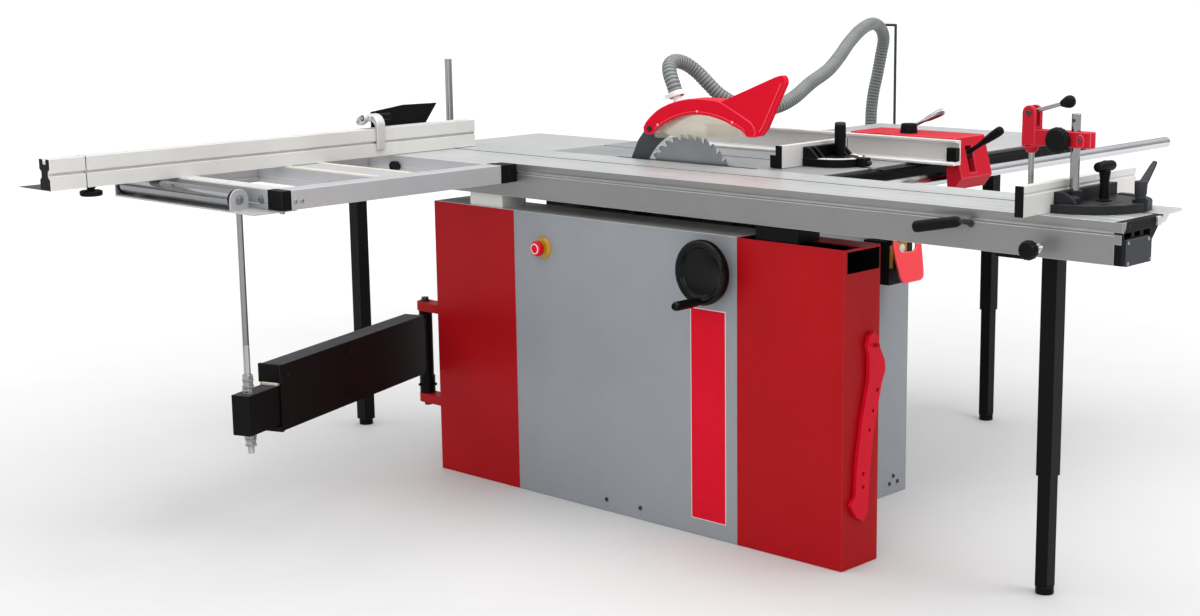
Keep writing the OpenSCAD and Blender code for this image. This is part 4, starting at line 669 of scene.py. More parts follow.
def make_sliding_table():
    """The extruded table: grooved top, T slot, lip, skirt and inner web."""
    top, low, skirt, slot = TABLE_TOP, TABLE_TOP - 22, TABLE_TOP - 85, SLOT_Y
    outline = [
        (SLIDE_Y, top), *top_groove(-296), *top_groove(-262),
        (slot - 6, top), (slot - 6, top - 8), (slot - 12, top - 8), (slot - 12, top - 18),
        (slot + 12, top - 18), (slot + 12, top - 8), (slot + 6, top - 8), (slot + 6, top),
        *top_groove(-130), *top_groove(-96), (-72.25, top), (-72.25, low + 16), (-124, low + 14),
        (-140, low), (-215.25, low), (-215.25, low - 40), (-222.25, low - 40), (-222.25, low),
        (SLIDE_Y + 11, low), (SLIDE_Y + 11, skirt), (SLIDE_Y + 3, skirt), (SLIDE_Y + 3, low - 5),
        (SLIDE_Y + 7, low - 1), (SLIDE_Y + 7, low + 1), (SLIDE_Y + 2, low + 4), (SLIDE_Y, low + 8)]
    table = drawn("sliding_table_extrusion", "carriage_table", "aluminium", outline, X, (-790, 1336),
                  ["sliding_table"], 0.5)
    # the upright faces below the top take the darker aluminium: painted shade
    repaint(table, "shaded_side_aluminium", lambda spot, way: abs(way.y) > 0.7 and spot.z < TABLE_TOP - 2)


def make_slide_trim():
    """The lip's corner guard, screws and block at the sliding table's end, and the beam's cover."""
    end_x, cap_x, cover_x = 1335, 1354, 1357
    bm = bmesh.new()
    plate(bm, [(SLIDE_Y - 0.6, TABLE_TOP), (SLIDE_Y + 16, TABLE_TOP), (SLIDE_Y + 12, TABLE_TOP - 14),
               (SLIDE_Y + 4, TABLE_TOP - 22), (SLIDE_Y - 0.6, TABLE_TOP - 20)], X, end_x, cap_x + 1.5)
    block(bm, (end_x, SLIDE_Y + 2.2, 806), (cap_x - 2, SLIDE_Y + 6, 826))
    # the corner guard takes the darker aluminium of the upright faces: painted shade
    finish_piece("corner_guard", bm, "carriage_table", "shaded_side_aluminium", ease=1.0)
    cover = rounded([(-328, 763), (-230, 763), (-230, 808), (-239, 815), (-328, 815)], 3)
    drawn("beam_cover", "base", "ratchet_grey", cover, X, (cover_x - 7, cover_x), ease=1.0)
    bm = bmesh.new()
    for y, z in ((-322, 769), (-236, 769), (-322, 809), (-244, 809)):
        screw(bm, (cover_x, y, z), RIGHT, 3.4)
    finish_piece("beam_cover_screws", bm, "base", "zinc_bolts")
    bm = bmesh.new()
    for y in (-316, -212):
        screw(bm, (cap_x, y, 841), RIGHT, 3)
    finish_piece("end_cap_screws", bm, "carriage_table", "dark_steel")
    boxed("gusset_block", "carriage_table", "cast_alloy", 0.8,
          ((cap_x - 1, -211, 831), (cap_x + 5, -197, 849)))


def make_push_handle():
    """The push handle, which leans outwards from its bent arm."""
    start, end = Vector((1004, -370, 826)), Vector((897, -383, 806))
    turned("push_handle_bar", "carriage_table", "black_plastic", start, end - start, [
        (0, 0), (7.5, 0), (9, 2), (11.4, 8), (12, 50), (12.4, 98), (11.4, 104), (8, 107), (0, 108)],
        ["push_handle"], 0.6)
    bm = bmesh.new()
    rod(bm, end.lerp(start, 0.96), (1011, -369, 827), 5)
    rod(bm, (1010, -371, 827), (1010, SLIDE_Y + 3, 819), 5.5)
    lathe(bm, (1010, SLIDE_Y + 3.2, 819), FRONT, [(0, 0), (8.5, 0), (8.5, 2), (7, 3), (0, 3)])
    finish_piece("push_handle_arm", bm, "carriage_table", "dark_steel", ease=0.5)


def make_lock_knob():
    """The table lock's lobed knob on its chromed stem."""
    x, z = 1175, 785
    bm = bmesh.new()
    lobed(bm, (x, SLIDE_Y - 32, z), FRONT, 20, 22, 14, 1.2)
    rod(bm, (x, SLIDE_Y - 33, z), (x, SLIDE_Y - 24, z), 11, 8)
    finish_piece("lock_knob_head", bm, "table_lock", "black_plastic", ["lock_knob"], 0.6)
    bm = bmesh.new()
    rod(bm, (x, SLIDE_Y - 26, z), (x, SLIDE_Y + 10, z), 5)
    rod(bm, (x, SLIDE_Y - 4, z), (x, SLIDE_Y + 2.8, z), 10, sides=6)
    finish_piece("lock_stem", bm, "table_lock", "chrome_bar", ease=0.3)


make_sliding_table()
make_slide_trim()
make_push_handle()
make_lock_knob()


# Outrigger, roller and swing arm

def make_outrigger():
    """The outrigger's members and corner sleeve, the bars behind its roller, its cream strips, and its
    latches and screws."""
    z0, z1 = TABLE_TOP - 45, TABLE_TOP
    left, right, near, far, wide = -905, -335, SLIDE_Y - 716, SLIDE_Y, 55
    x0, x1 = left + wide, right - wide
    bm = bmesh.new()
    plate(bm, grooved((left, z0), (x0, z1)), Y, near + 26, far - 26)
    plate(bm, oblong((x1, z0), (right, z1)), Y, near + 26, far - 26)
    for y0, y1 in ((near, near + wide), (-753, -623), (far - wide, far)):
        plate(bm, grooved((y0, z0), (y1, z1)), X, x0, x1)
    finish_piece("outrigger_members", bm, "carriage_table", "aluminium_y", ["outrigger_frame"], 1.0)
    boxed("corner_sleeve", "carriage_table", "black_plastic", 1.4,
          ((x1 - 1, -396, z0 - 0.6), (right + 0.6, -367, z1 + 0.6)))
    boxed("grooved_bars", "carriage_table", "fence_white", 0.6,
          *(((x0 + 1, y - 5, z1 - 1), (x1 - 1, y + 5, z1 + 1.4)) for y in (-1046, -1031, -1016)))
    boxed("slide_strips", "carriage_table", "cream_nylon", 0.6,
          *(((x0 + 4, y - 7, z1 - 1), (x1 - 4, y + 7, z1 + 1.2)) for y in (-738, -640)))
    bm = bmesh.new()
    latch = rounded([(-756, 812), (-724, 812), (-720, 824), (-730, 834), (-750, 834), (-760, 824)], 4)
    for y in (-615, -400):
        plate(bm, latch, Y, y - 5, y + 5)
        rod(bm, (-738, y, 822), (-706, y + 10, 826), 3)
    finish_piece("frame_latches", bm, "carriage_table", "black_plastic", ease=1.0)
    bm = bmesh.new()
    for y in (-1022, -1004):
        screw(bm, (right, y, 824), RIGHT, 5)
    bolt(bm, (-412, near, 826), FRONT, 7, 6)
    finish_piece("frame_screws", bm, "carriage_table", "zinc_bolts", ease=0.2)


def make_roller():
    """The chromed end roller with its black end rings, and the sheet plate whose rounded tabs hold it."""
    left, right, y, z, low = -909, -433, -1104, TABLE_TOP - 22, 801
    # the roller takes the darker chrome: painted shade
    turned("roller_tube", "roller", "shaded_chrome", (left + 5, y, z), RIGHT, [
        (0, 0), (20, 0), (21, 1), (21, 465), (20, 466), (0, 466)], ["end_roller"])
    bm = bmesh.new()
    for x, way in ((left + 4.5, RIGHT), (right - 4.5, LEFT)):
        lathe(bm, (x, y, z), way, [
            (8, 0), (18.5, 0), (22, 1), (22, 11), (21, 11.6), (20, 11.6), (8, 11.6), (8, 0)])
    finish_piece("roller_rings", bm, "roller", "black_plastic", ease=0.3)
    bm = bmesh.new()
    block(bm, (left + 0.2, -1130, low), (-346, -1010, low + 3.8))
    tab = rounded([(y - 25, low), (y + 25, low), (y + 25, z + 8), (y + 12, z + 24), (y - 12, z + 24),
                   (y - 25, z + 8)], 9)
    for x in (left, right - 4):
        plate(bm, tab, X, x, x + 4)
    finish_piece("roller_sheet", bm, "carriage_table", "zinc_sheet", ["roller_plate"], 0.8)
    bm = bmesh.new()
    for x, way in ((left, LEFT), (right, RIGHT)):
        bolt(bm, (x, y, z), way, 8, 7)
    for x in (-880, -640, -362):
        bolt(bm, (x, -1040, low), DOWN, 7, 6)
    finish_piece("roller_bolts", bm, "carriage_table", "zinc_bolts", ease=0.3)


# The arm's trim is drawn along -Y from the hinge, and then turned towards the column.
HINGE_X, HINGE_Y = -775, -283
COLUMN_X, COLUMN_Y = -495, -1063
ARM_TURN = math.atan2(COLUMN_X - HINGE_X, HINGE_Y - COLUMN_Y)
ARM_PLACE = Matrix.Translation((HINGE_X, HINGE_Y, 0)) @ Matrix.Rotation(ARM_TURN, 4, "Z")


def make_arm_trim():
    """Screws, end plates and support roller of the swing arm, and the bolts of its hinge."""
    bm = bmesh.new()
    for y in (-430, -708):
        for z in (285, 388):
            for side in (-1, 1):
                screw(bm, (29 * side, y, z), (side, 0, 0), 5)
    bmesh.ops.transform(bm, matrix=ARM_PLACE, verts=bm.verts)
    for x, y in arc((0, 0), 1, 20, 260, 2):
        bolt(bm, (HINGE_X + 20.5 * x, HINGE_Y + 20.5 * y, 213), (x, y, 0), 4, 7)
    finish_piece("arm_screws", bm, "arm", "black_paint", ease=0.3)
    bm = bmesh.new()
    block(bm, (-31, -743, 372), (31, -733, 417), ARM_PLACE)
    block(bm, (-31, -743, 253), (31, -733, 266), ARM_PLACE)
    finish_piece("arm_end_plates", bm, "arm", "black_paint", ease=1.2)
    bm = bmesh.new()
    rod(bm, (-22, -738, 368), (22, -738, 368), 7)
    bmesh.ops.transform(bm, matrix=ARM_PLACE, verts=bm.verts)
    finish_piece("arm_roller", bm, "arm", "cream_nylon", ease=1.0)
    bm = bmesh.new()
    for z, way in ((442, UP), (165, DOWN)):
        bolt(bm, (HINGE_X, HINGE_Y, z), way, 11, 11)
    finish_piece("hinge_bolts", bm, "base", "dark_steel", ease=0.5)


def make_column_nuts():
    """The column's nuts on their washers, and the threads that show beyond them."""
    x, y, pitch, washer = COLUMN_X, COLUMN_Y, 2.4, 2.4
    bm = bmesh.new()
    for z in (368, 383, 398, 256, 242):
        rod(bm, (x, y, z), (x, y, z + 11), 13.5, sides=6)
        rod(bm, (x, y, z - washer), (x, y, z), 14)
    for z, turns in ((408, 30), (222, 7)):
        for k in range(turns):
            lathe(bm, (x, y, z + pitch * k), UP, [(7.2, 0), (8.3, pitch / 2), (7.2, pitch)], sides=20)
    rod(bm, (x, y, 221), (x, y, 246), 7.4)
    finish_piece("column_nuts", bm, "arm_slider", "zinc_bolts", ease=0.8, angle=50)


make_outrigger()
make_roller()
make_arm_trim()
make_column_nuts()


# Crosscut fence

def make_crosscut_fence():
    """The fence's two extrusions with stepped faces and slots, the tongue that slides in the hollow one,
    and its sheet plate, end, knob and plug."""
    x0, x1, z0, z1 = -787, -743, 851, 923
    mouth_y = -1299.5
    outline = [
        (x0, z0), (x1, z0), (x1, z0 + 33), (x1 - 8, z0 + 34), (x1 - 8, z0 + 38.5), (x1, z0 + 40), (x1, z1),
        (x0 + 30, z1), (x0 + 30, z1 - 5), (x0 + 14, z1 - 5), (x0 + 14, z1), (x0, z1), (x0, z0 + 42),
        (x0 + 4, z0 + 42), (x0 + 4, z0 + 30), (x0, z0 + 30)]
    bm = bmesh.new()
    plate(bm, outline, Y, mouth_y, -114)
    mouth = [f for f in bm.faces if all(abs(v.co.y - mouth_y) < 0.1 for v in f.verts)]
    bmesh.ops.inset_region(bm, faces=mouth, thickness=3.0, use_even_offset=True)
    bmesh.ops.translate(bm, verts=mouth[0].verts, vec=(0, 1100, 0))
    rod(bm, (x0 + 22, SLOT_Y, z0 - 8.7), (x0 + 22, SLOT_Y, z0), 5.9)
    finish_piece("fence_extrusion", bm, "long_fence", "fence_white", ["crosscut_fence"], 0.8)
    bm = bmesh.new()
    plate(bm, outline, Y, -1391, -1300.5)
    block(bm, (x0 + 8, -1301, z0 + 4), (x1 - 12, -660, z1 - 9))
    finish_piece("fence_extension_bar", bm, "fence_slider", "fence_white", ["fence_extension"], 0.8)
    boxed("extension_sheet", "fence_slider", "dark_steel", 0.4, ((-880, -1393, 851), (-744, -1307, 852.5)))
    waist = [
        (x0 + 2, z0 + 2), (x1 - 2, z0 + 2), (x1 - 2, z0 + 24), (x1 - 10, z0 + 29), (x1 - 10, z1 - 28),
        (x1 - 2, z1 - 23), (x1 - 2, z1 - 1), (x0 + 30, z1 - 1), (x0 + 30, z1 - 13), (x0 + 14, z1 - 13),
        (x0 + 14, z1 - 1), (x0 + 2, z1 - 1), (x0 + 2, z1 - 23), (x0 + 10, z1 - 28), (x0 + 10, z0 + 29),
        (x0 + 2, z0 + 24)]
    drawn("extension_end", "fence_slider", "black_plastic", waist, Y, (-1393, -1390.5), ease=0.5)
    turned("fence_knob", "long_fence", "black_plastic", (x0 + 22, -1278, z0 - 0.5), DOWN, [
        (0, 0), (12, 0), (12, 3), (9, 4), (9, 8), (22, 9), (26, 11), (26, 19), (23, 22), (0, 23)], ease=0.5)
    boxed("fence_plug", "long_fence", "cast_alloy", 0.5, ((-760, -115.5, 880), (-748, -112, 895)))


def make_stop_arm():
    """The length stop's cast arm, which arches over the fence from its strap to its knuckle."""
    bm = bmesh.new()
    plate(bm, [
        (-742.6, 868), (-735.5, 868), (-734.6, 932), (-738, 944), (-747, 954), (-760, 960), (-772, 960.5),
        (-780, 956), (-780, 944), (-772, 941), (-760, 941), (-750, 936), (-744, 928), (-742.6, 923.4)],
        Y, -458, -431)
    rod(bm, (-770, -477.7, 950), (-770, -428.3, 950), 9.5)
    plate(bm, rounded([(-797, 932), (-783, 930), (-762, 942), (-762, 959), (-776, 960), (-797, 948)], 7),
          Y, -477.7, -462)
    plate(bm, rounded(oblong((-780, 941), (-756, 958)), 5), Y, -466, -452)
    finish_piece("stop_arm", bm, "length_stop", "cast_alloy", ["stop_bracket"], 2.0, 3)
    bm = bmesh.new()
    rod(bm, (-770, -484, 950), (-770, -477, 950), 5)
    screw(bm, (-790, -477.7, 940), FRONT, 4)
    finish_piece("stop_screws", bm, "length_stop", "zinc_bolts")


make_crosscut_fence()
make_stop_arm()


# Mitre fence and hold-down clamp

def make_mitre_fence():
    """The mitre fence's extrusion and cap, and the base's stepped rim, end wall and boss."""
    x0, x1, z0 = 1153, 1171, 850.5
    pivot = (1185, -178)
    outline = [
        (x0, z0), (x1, z0), (x1, z0 + 42), (x1 - 3, z0 + 43), (x1 - 3, z0 + 47), (x1, z0 + 48),
        (x1, z0 + 61), (x0, z0 + 61), (x0, z0 + 46), (x0 + 2, z0 + 45), (x0, z0 + 44)]
    drawn("mitre_extrusion", "mitre_fence", "fence_white", outline, Y, (-401, 36), ["mitre_bar"], 0.7)
    cap = rounded(oblong((x0 - 0.5, z0), (x1 + 0.5, z0 + 61.5)), 2)
    drawn("mitre_end_cap", "mitre_fence", "black_plastic", cap, Y, (-404, -401), ease=0.6)
    bm = bmesh.new()
    plate(bm, band(pivot, 108, 124.5, -88, 88, 32), Z, 865, 868.5)
    plate(bm, band(pivot, 62, 70, -60, 10, 32), Z, 865, 867)
    plate(bm, rounded([(1184, 866), (1222, 866), (1216, 878), (1196, 890), (1184, 890)], 6), Y, -290, -282)
    lathe(bm, (1198, -262, 866), UP, [(0, 0), (13, 0), (13, 12), (9, 16), (0, 17)])
    finish_piece("mitre_rim", bm, "mitre_fence", "black_anodised", ease=1.0)


def make_mitre_knobs():
    """The T knob with its rounded bar, and the ratchet lever with its broad swept arm."""
    x, y = 1222, SLOT_Y
    bm = bmesh.new()
    lathe(bm, (x, y, 866.5), UP, [
        (0, 0), (16, 0), (16, 2), (10.5, 3), (10, 8), (9.6, 44), (11, 52), (12, 62), (0, 76)])
    lathe(bm, (x, y - 33, 936), BACK, [
        (0, 0), (6, 0.6), (9.4, 3.4), (10.6, 9), (10.6, 18), (12, 33), (10.6, 48), (10.6, 57), (9.4, 62.6),
        (6, 65.4), (0, 66)])
    rod(bm, (x, y, 834), (x, y, 868), 5.9)
    block(bm, (x - 13, y - 11.7, 833), (x + 13, y + 11.7, 841.7))
    finish_piece("mitre_t_knob", bm, "mitre_bolt", "black_plastic", ["mitre_knob"], 0.8)
    x, y, z = 1296, -170, 874.5
    bm = bmesh.new()
    rod(bm, (x, y, 859), (x, y, z), 6)
    lathe(bm, (x, y, z), UP, [
        (0, 0), (11, 0), (11, 9), (12.2, 11), (12.8, 30), (12.4, 36), (8.4, 36.6), (7.8, 33), (0, 33)])
    way = Vector((0, 1, 0.86)).normalized()
    over = way.cross(Vector(RIGHT))
    turns = [math.tau * i / 16 for i in range(16)]
    sections = []
    for at, half, thick in ((0, 10.5, 6.5), (22, 9, 6), (58, 6.6, 5), (68, 5, 4)):
        middle = Vector((x, y + 2, z + 25)) + way * at
        across, through = Vector(RIGHT) * half, over * thick
        sections.append([middle + across * math.cos(a) + through * math.sin(a) for a in turns])
    loft(bm, sections)
    finish_piece("ratchet_lever", bm, "mitre_lock", "ratchet_grey", ["mitre_lever"], 0.8)


def make_clamp():
    """The hold-down's lobed knob, its lever with an egg-shaped ball, its pins and casting, and the cross
    hole of its post."""
    x, y = 1086, -240
    bm = bmesh.new()
    lobed(bm, (1160, -256.2, 990), FRONT, 27, 17, 18, 0.9)
    rod(bm, (1160, -257, 990), (1160, -247.9, 990), 5)
    finish_piece("clamp_knob_head", bm, "hold_down_knob", "black_plastic", ["clamp_knob"], 0.6)
    start, end = Vector((x, y, 1042)), Vector((1169, y, 1066))
    bm = bmesh.new()
    rod(bm, start, end, 4.6, 4)
    for half, r in ((14.9, 4), (5.7, 10)):
        rod(bm, (x, y - half, 1042), (x, y + half, 1042), r)
    finish_piece("clamp_lever_bar", bm, "hold_down_lever", "bright_steel", ["clamp_lever"], 0.5)
    turned("clamp_ball", "hold_down_lever", "black_plastic", end, end - start, [
        (0, -17), (6.5, -17), (7.5, -15), (11, -7), (13, 0), (12.2, 6), (9.4, 10.4), (5, 12.8), (0, 13.4)])
    bm = bmesh.new()
    for side, way in ((y - 15, FRONT), (y + 15, BACK)):
        screw(bm, (x, side, 1041), way, 6)
    screw(bm, (1207, -259, 993), FRONT, 4.4)
    finish_piece("clamp_pins", bm, "hold_down", "dark_steel", ease=0.4)
    bm = bmesh.new()
    lug = [(x - 15, 976), (x + 15, 976)] + arc((x, 1041), 15, 0, 180, 12)
    for y0, y1 in ((y - 15, y - 6.6), (y + 6.6, y + 15)):
        plate(bm, lug, Y, y0, y1)
    for x0, x1 in ((x - 16, x - 7), (x + 7, x + 16)):
        plate(bm, rounded(oblong((x0, 972), (x1, 1014)), 4), Y, y - 14, y + 14)
    plate(bm, [(1098, y - 13), (1200, y - 15), (1216, y - 15), (1226, y - 10), (1229, y), (1226, y + 10),
               (1216, y + 15), (1200, y + 15), (1098, y + 13)], Z, 976, 1008)
    lathe(bm, (x, y, 974), DOWN, [(6.2, 0), (15, 0), (14.6, 4), (10.6, 13), (9.6, 14), (6.2, 14), (6.2, 0)])
    plate(bm, rounded([(1198, 978), (1216, 978), (1216, 998), (1207, 1006), (1198, 998)], 6), Y, -259, -250)
    finish_piece("clamp_casting", bm, "hold_down", "red_enamel", ["clamp_arm"], 2.0, 3)
    bm = bmesh.new()
    rod(bm, (1187, -251, 1030), (1187, -247.6, 1030), 3.4)
    finish_piece("post_cross_hole", bm, "mitre_fence", "dark_steel")


make_mitre_fence()
make_mitre_knobs()
make_clamp()


# Mitre gauge on the main table

def make_gauge():
    """The gauge's extrusion and stepped caps, its ribbed protractor head, scale ring, marks and handle."""
    x0, x1, z0, z1 = 242, 262, 851, 905
    section = [
        (x0 - 14, z0), (x1, z0), (x1, z1), (x0 + 3, z1), (x0 + 3, z0 + 32), (x0 + 1, z0 + 30),
        (x0 - 11, z0 + 30), (x0 - 14, z0 + 27)]
    drawn("gauge_extrusion", "gauge", "fence_white", section, Y, (-28, 228), ["gauge_fence"], 0.7)
    cap = [(x0 - 15, z0), (x1 + 0.5, z0), (x1 + 0.5, z1 + 0.6), (x0 + 2, z1 + 0.6), (x0 + 2, z0 + 31),
           (x0 - 15, z0 + 31)]
    bm = bmesh.new()
    for y0, y1 in ((-31, -28), (228, 231)):
        plate(bm, cap, Y, y0, y1)
    finish_piece("gauge_end_caps", bm, "gauge", "black_plastic", ease=0.7)
    px, py = pivot = (308, 124)
    bm = bmesh.new()
    plate(bm, [(x1, py - 74), (x1, py + 74)] + arc(pivot, 74, 90, -90, 24), Z, z0, 870)
    block(bm, (x1, 52, z0), (x1 + 13, 190, 897))
    rib = [(x1 + 11, 862), (x1 + 48, 862), (x1 + 48, 872), (x1 + 20, 896), (x1 + 11, 896)]
    for y in (56, 78, 168, 186):
        plate(bm, rib, Y, y - 4, y + 4)
    block(bm, (px + 62, py - 13, 852), (px + 96, py + 13, 873))
    finish_piece("gauge_protractor", bm, "gauge", "black_paint", ["gauge_head"], 1.4)
    ring = band(pivot, 56, 73, 90, -90, 24)
    drawn("gauge_scale", "gauge", "white_plastic", ring, Z, (869, 871.4), ease=0.3)
    bm = bmesh.new()
    for i, (x, y) in enumerate(arc((0, 0), 1, -84, 84, 28)):
        inner = 66 if i % 5 else 61
        rod(bm, (px + inner * x, py + inner * y, 871.5), (px + 72 * x, py + 72 * y, 871.5), 0.6, sides=4)
    rod(bm, (px + 96, py, 861), (px + 106, py, 861), 5)
    finish_piece("gauge_marks", bm, "gauge", "dark_steel")
    turned("gauge_handle", "gauge", "black_plastic", (300, 151, 862), UP, [
        (0, 0), (10.5, 0), (10.5, 12), (13.2, 28), (14, 40), (14, 80), (13.2, 84), (0, 85)], ease=0.4)
    turned("gauge_handle_cap", "gauge", "ratchet_grey", (300, 151, 945), UP, [
        (0, 0), (13.6, 0), (14.2, 1.6), (13.6, 5), (10, 7.4), (0, 8)], ease=0.3)


make_gauge()


# Rip fence

def make_rip_fence():
    """The rip fence's extrusion and plug, and its leaning saddle with the lever's slot."""
    y1, z0, z1 = 297, 851, 911
    section = [
        (y1, z0), (y1, z1), (y1 - 18, z1), (y1 - 18, z1 - 5), (y1 - 6, z1 - 8), (y1 - 6, z0 + 10),
        (y1 - 27, z0 + 8), (y1 - 30, z0 + 5), (y1 - 30, z0)]
    drawn("rip_extrusion", "rip_face", "fence_white", section, X, (-260, 555), ["rip_profile"], 0.7)
    plug = rounded([(y1 - 5.5, z0 + 10), (y1 - 5.5, z0 + 42), (y1 - 22, z0 + 42), (y1 - 22, z0 + 9)], 2)
    drawn("rip_plug", "rip_face", "black_plastic", plug, X, (528, 556), ease=0.7)
    bm = bmesh.new()
    sections = []
    for y, slot in ((297.3, False), (337, False), (337, True), (365, True), (365, False), (430, False)):
        high, low = (494, 494) if slot else (539.9, 557.3)
        sections.append([(x, y, z) for x, z in (
            (220, 915), (534, 915), (539.9, 893), (high, 893), (low, 828), (557.3, 828), (560, 818),
            (538, 788), (516, 788), (512, 851.3), (220, 851.3))])
    loft(bm, sections)
    block(bm, (496, 372, 792), (520, 424, 852))
    saddle = finish_piece("rip_saddle_casting", bm, "rip_fence", "red_enamel", ["rip_saddle"], 2.6, 3, 20)
    repaint(saddle, "black_paint", lambda spot, way: spot.x < 520 and (way.z < -0.5 or way.x < -0.5))


def make_rip_handles():
    """The lever that clamps the saddle, and the profile's lock handle with its chromed arm."""
    x, y, z = 534, 351, 872
    rise = math.radians(33)
    bm = bmesh.new()
    for half, r in ((13.7, 10), (23.7, 5)):
        rod(bm, (x, y - half, z), (x, y + half, z), r)
    lathe(bm, (x, y, z), (math.cos(rise), 0, math.sin(rise)), [
        (0, 0), (6, 0), (5.4, 34), (6.4, 52), (9, 70), (11, 92), (11.6, 110), (10.4, 118), (6, 122),
        (0, 122)], sides=32)
    finish_piece("rip_clamp_lever", bm, "rip_clamp", "black_plastic", ["rip_lever"], 0.5)
    x, y, z = 366, 346, 915.3
    turned("rip_lock_hub", "rip_face_lock", "black_plastic", (x, y, z), UP, [
        (0, 0), (21, 0), (22, 1.5), (21.6, 6), (19.4, 21), (18, 23.4), (0, 24)],
        ["rip_handle"], 0.6, sides=40)
    rise = math.radians(25)
    flat = math.cos(rise) * math.sqrt(0.5)
    # the lock arm takes the darker chrome: painted shade
    turned("rip_lock_arm", "rip_face_lock", "shaded_chrome", (x, y, z + 12), (flat, flat, math.sin(rise)), [
        (0, 12), (5, 12), (4.6, 36), (5, 44), (8, 58), (9.4, 80), (9.4, 90), (7, 96), (0, 98)],
        ease=0.4, sides=32)


make_rip_fence()
make_rip_handles()


# Saw unit

def smooth_pairs(pairs, spans=4):
    """A smooth line through pairs of places."""
    return [(p.x, p.z) for p in smooth_route([(a, 0, b) for a, b in pairs], spans)]


HOOD_TOP = smooth_pairs([
    (-139, 944), (-127, 956), (-97, 978), (-61, 994), (-22, 1005), (16, 1011), (66, 1012), (109, 1008),
    (153, 989), (192, 971), (212, 959), (221, 945), (222, 936)])
HOOD_LOW = smooth_pairs([
    (194, 926), (182, 938), (152, 950), (115, 962), (72, 970), (34, 971), (3, 968), (-36, 958), (-81, 939),
    (-112, 918)])
HOOD_NEAR, HOOD_FAR = BLADE_Y - 27, BLADE_Y + 27
PORT_LEAN = math.radians(-23)
PORT_WAY = (math.sin(PORT_LEAN), 0, math.cos(PORT_LEAN))


def make_blade_tips():
    """The carbide tips brazed to the blade's teeth."""
    teeth = 36
    centre = Matrix.Translation((-12, BLADE_Y, 762.5))
    bm = bmesh.new()
    for k in range(teeth):
        turn = Matrix.Rotation(-math.tau * k / teeth, 4, "Y")
        block(bm, (147, -2.1, 0), (157.4, 2.1, 3.2), centre @ turn)
    finish_piece("carbide_tips", bm, "blade_spindle", "carbide", ease=0.2)


def make_guard():
    """The guard: an arched hood, hollow from below and narrowing to the front, with its thin tail, and
    with its port, which slides in the hose as the blade rises."""
    narrow_from, narrow_over, narrow_by = 140, 60, 36
    bm = bmesh.new()
    plate(bm, HOOD_TOP + [(219, 929), (212, 926)] + HOOD_LOW + [(-131, 914), (-145, 921), (-146, 933)], Y,
          HOOD_NEAR, HOOD_FAR)
    bmesh.ops.recalc_face_normals(bm, faces=bm.faces)
    under = [f for f in bm.faces if f.normal.z < -0.6 and -105 < f.calc_center_median().x < 130]
    bmesh.ops.inset_region(bm, faces=under, thickness=3.0, depth=-26.0)
    for v in bm.verts:
        if v.co.y > BLADE_Y:
            v.co.y -= narrow_by * min(max((v.co.x - narrow_from) / narrow_over, 0), 1)
    finish_piece("guard_shell", bm, "saw_unit", "red_plastic", ["guard_hood"], 4.0, 4, 40)
    tail = rounded([(92, 1000), (286, 1075), (306, 1079), (314, 1062), (252, 947), (236, 930), (205, 927),
                    (205, 955), (150, 984)], 9)
    drawn("guard_tail", "saw_unit", "red_plastic", tail, Y, (HOOD_NEAR + 2.2, HOOD_NEAR + 17),
          ease=3.0, steps=3)
    turned("guard_port", "saw_unit", "white_plastic", (-43, BLADE_Y, 986), PORT_WAY, [
        (10.4, 0), (17, 0), (17, 14), (13.4, 15.5), (11.8, 16.5), (11.8, 38), (10.4, 38), (10.4, 0)],
        ease=0.8)


def make_guard_trim():
    """The guard's clear window, its pale rim line and a painted highlight line along the tail's edge, and its
    screws and bolts.
    """
    glass = [(x, z + 6) for x, z in HOOD_LOW] + [(-108, 908), (188, 922)]
    short_glass = [p for p in glass if p[0] < 150] + [(150, 920)]
    bm = bmesh.new()
    for y, outline in ((HOOD_NEAR + 3.2, glass), (HOOD_FAR - 5.2, short_glass)):
        plate(bm, outline, Y, y, y + 2)
    finish_piece("guard_window", bm, "saw_unit", "clear_window", ease=0.3)
    rim = HOOD_LOW[2:-1]
    bm = bmesh.new()
    plate(bm, [(x, z + 8) for x, z in rim] + [(x, z + 9.6) for x, z in reversed(rim)], Y,
          HOOD_NEAR - 0.7, HOOD_NEAR + 0.5)
    # a pale line along the tail's edge: painted highlight
    plate(bm, [(299, 1060), (301, 1059), (244, 953), (233, 939), (231, 941), (242, 954)], Y,
          HOOD_NEAR + 1.5, HOOD_NEAR + 3)
    finish_piece("guard_rim_and_highlight_lines", bm, "saw_unit", "pale_red_plastic", ease=0.2)
    bm = bmesh.new()
    for x, z in ((-95, 941), (37, 981), (150, 960)):
        screw(bm, (x, HOOD_NEAR, z), FRONT, 2.8)
    finish_piece("window_screws", bm, "saw_unit", "cream_nylon")
    bm = bmesh.new()
    for y, way in ((HOOD_NEAR, FRONT), (HOOD_FAR, BACK)):
        bolt(bm, (-124, y, 930), way, 6, 5)
    finish_piece("guard_bolt_heads", bm, "saw_unit", "dark_steel")


def make_hose_clamp():
    """The clamp with its lug on the hose's end."""
    bm = bmesh.new()
    lathe(bm, HOSE_ROUTE[0], PORT_WAY, [
        (18.6, -2), (19.8, -2), (20.2, 0), (20.2, 9), (19.8, 11), (18.6, 11), (18.6, -2)])
    block(bm, (-89, BLADE_Y - 8, 1005), (-74, BLADE_Y + 4, 1014))
    finish_piece("hose_clamp", bm, "tilt_frame", "white_plastic", ease=0.5)


make_blade_tips()
make_guard()
make_guard_trim()
make_hose_clamp()


# Room: pale floor, white surround and soft light

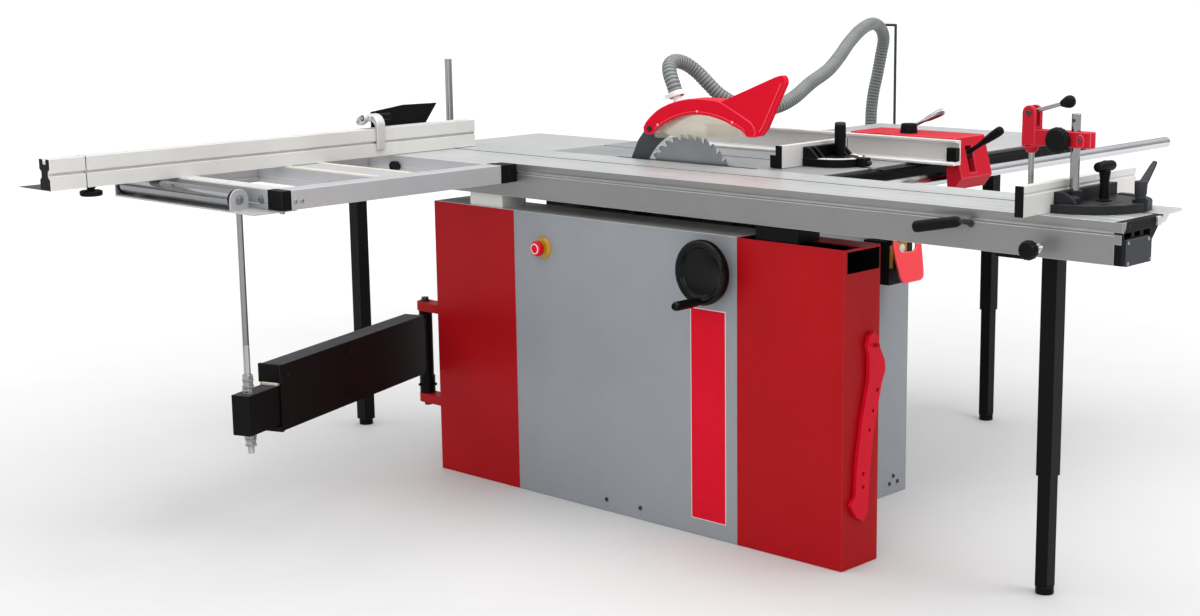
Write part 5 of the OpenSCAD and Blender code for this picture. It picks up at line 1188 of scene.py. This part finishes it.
LAMPS = {
    # name: place in m, width in m, power in W
    "overhead": ((0.0, -0.2, 4.6), 3.0, 60.0), "key": ((3.2, 0.6, 4.4), 2.4, 80.0),
    "front": ((3.0, -4.8, 2.6), 2.6, 50.0), "left": ((-4.4, -3.0, 3.2), 2.6, 15.0),
}
SKY_LEVELS = ((0.02, 0.22), (0.3, 0.3), (0.6, 0.7), (0.9, 1.0))


def make_floor():
    """A pale floor that glows a little further out, so that it runs into the white surround."""
    bm = bmesh.new()
    bmesh.ops.create_grid(bm, x_segments=8, y_segments=8, size=120.0)
    mesh = bpy.data.meshes.new("floor")
    bm.to_mesh(mesh)
    bm.free()
    floor = bpy.data.objects.new("floor", mesh)
    bpy.context.scene.collection.objects.link(floor)
    floor.location.z = -0.0005
    paint = surface("pale_floor", "CECECE", "CACACA", rough=(0.6, 0.7), mottle=900.0, bump=0.02,
                    sockets={"Emission Color": (1, 1, 1, 1)})
    mesh.materials.append(paint)
    tree = paint.node_tree
    place = add_node(tree, "ShaderNodeTexCoord").outputs["Object"]
    reach = add_node(tree, "ShaderNodeVectorMath", {"Vector": place}, operation="LENGTH").outputs["Value"]
    sweep = add_node(tree, "ShaderNodeMapRange", {
        "Value": reach, "From Min": 1.6, "From Max": 5.0, "To Min": 0.0, "To Max": 0.45})
    tree.links.new(sweep.outputs["Result"], tree.nodes["Principled BSDF"].inputs["Emission Strength"])


def make_light():
    """A surround that brightens upwards, and large soft lamps aimed at the saw."""
    world = bpy.data.worlds.new("studio")
    bpy.context.scene.world = world
    world.use_nodes = True
    bpy.context.scene.view_settings.view_transform = "Standard"
    tree = world.node_tree
    place = add_node(tree, "ShaderNodeTexCoord").outputs["Generated"]
    rise = add_node(tree, "ShaderNodeSeparateXYZ", {"Vector": place}).outputs["Z"]
    glow = add_node(tree, "ShaderNodeValToRGB", {"Fac": rise})
    stops = glow.color_ramp.elements
    for k, (height, level) in enumerate(SKY_LEVELS):
        stop = stops[k] if k < 2 else stops.new(height)
        stop.position = height
        stop.color = (level, level, level, 1)
    tree.links.new(glow.outputs["Color"], tree.nodes["Background"].inputs["Color"])
    tree.nodes["Background"].inputs["Strength"].default_value = 1.5
    target = Vector((0.1, 0.0, 0.7))
    for name, (spot, width, power) in LAMPS.items():
        lamp = bpy.data.lights.new(name, "AREA")
        lamp.shape = "DISK"
        lamp.size = width
        lamp.energy = power
        stand = bpy.data.objects.new(name, lamp)
        bpy.context.scene.collection.objects.link(stand)
        aim = target - Vector(spot)
        stand.matrix_world = Matrix.Translation(spot) @ aim.to_track_quat("-Z", "Y").to_matrix().to_4x4()


make_floor()
make_light()
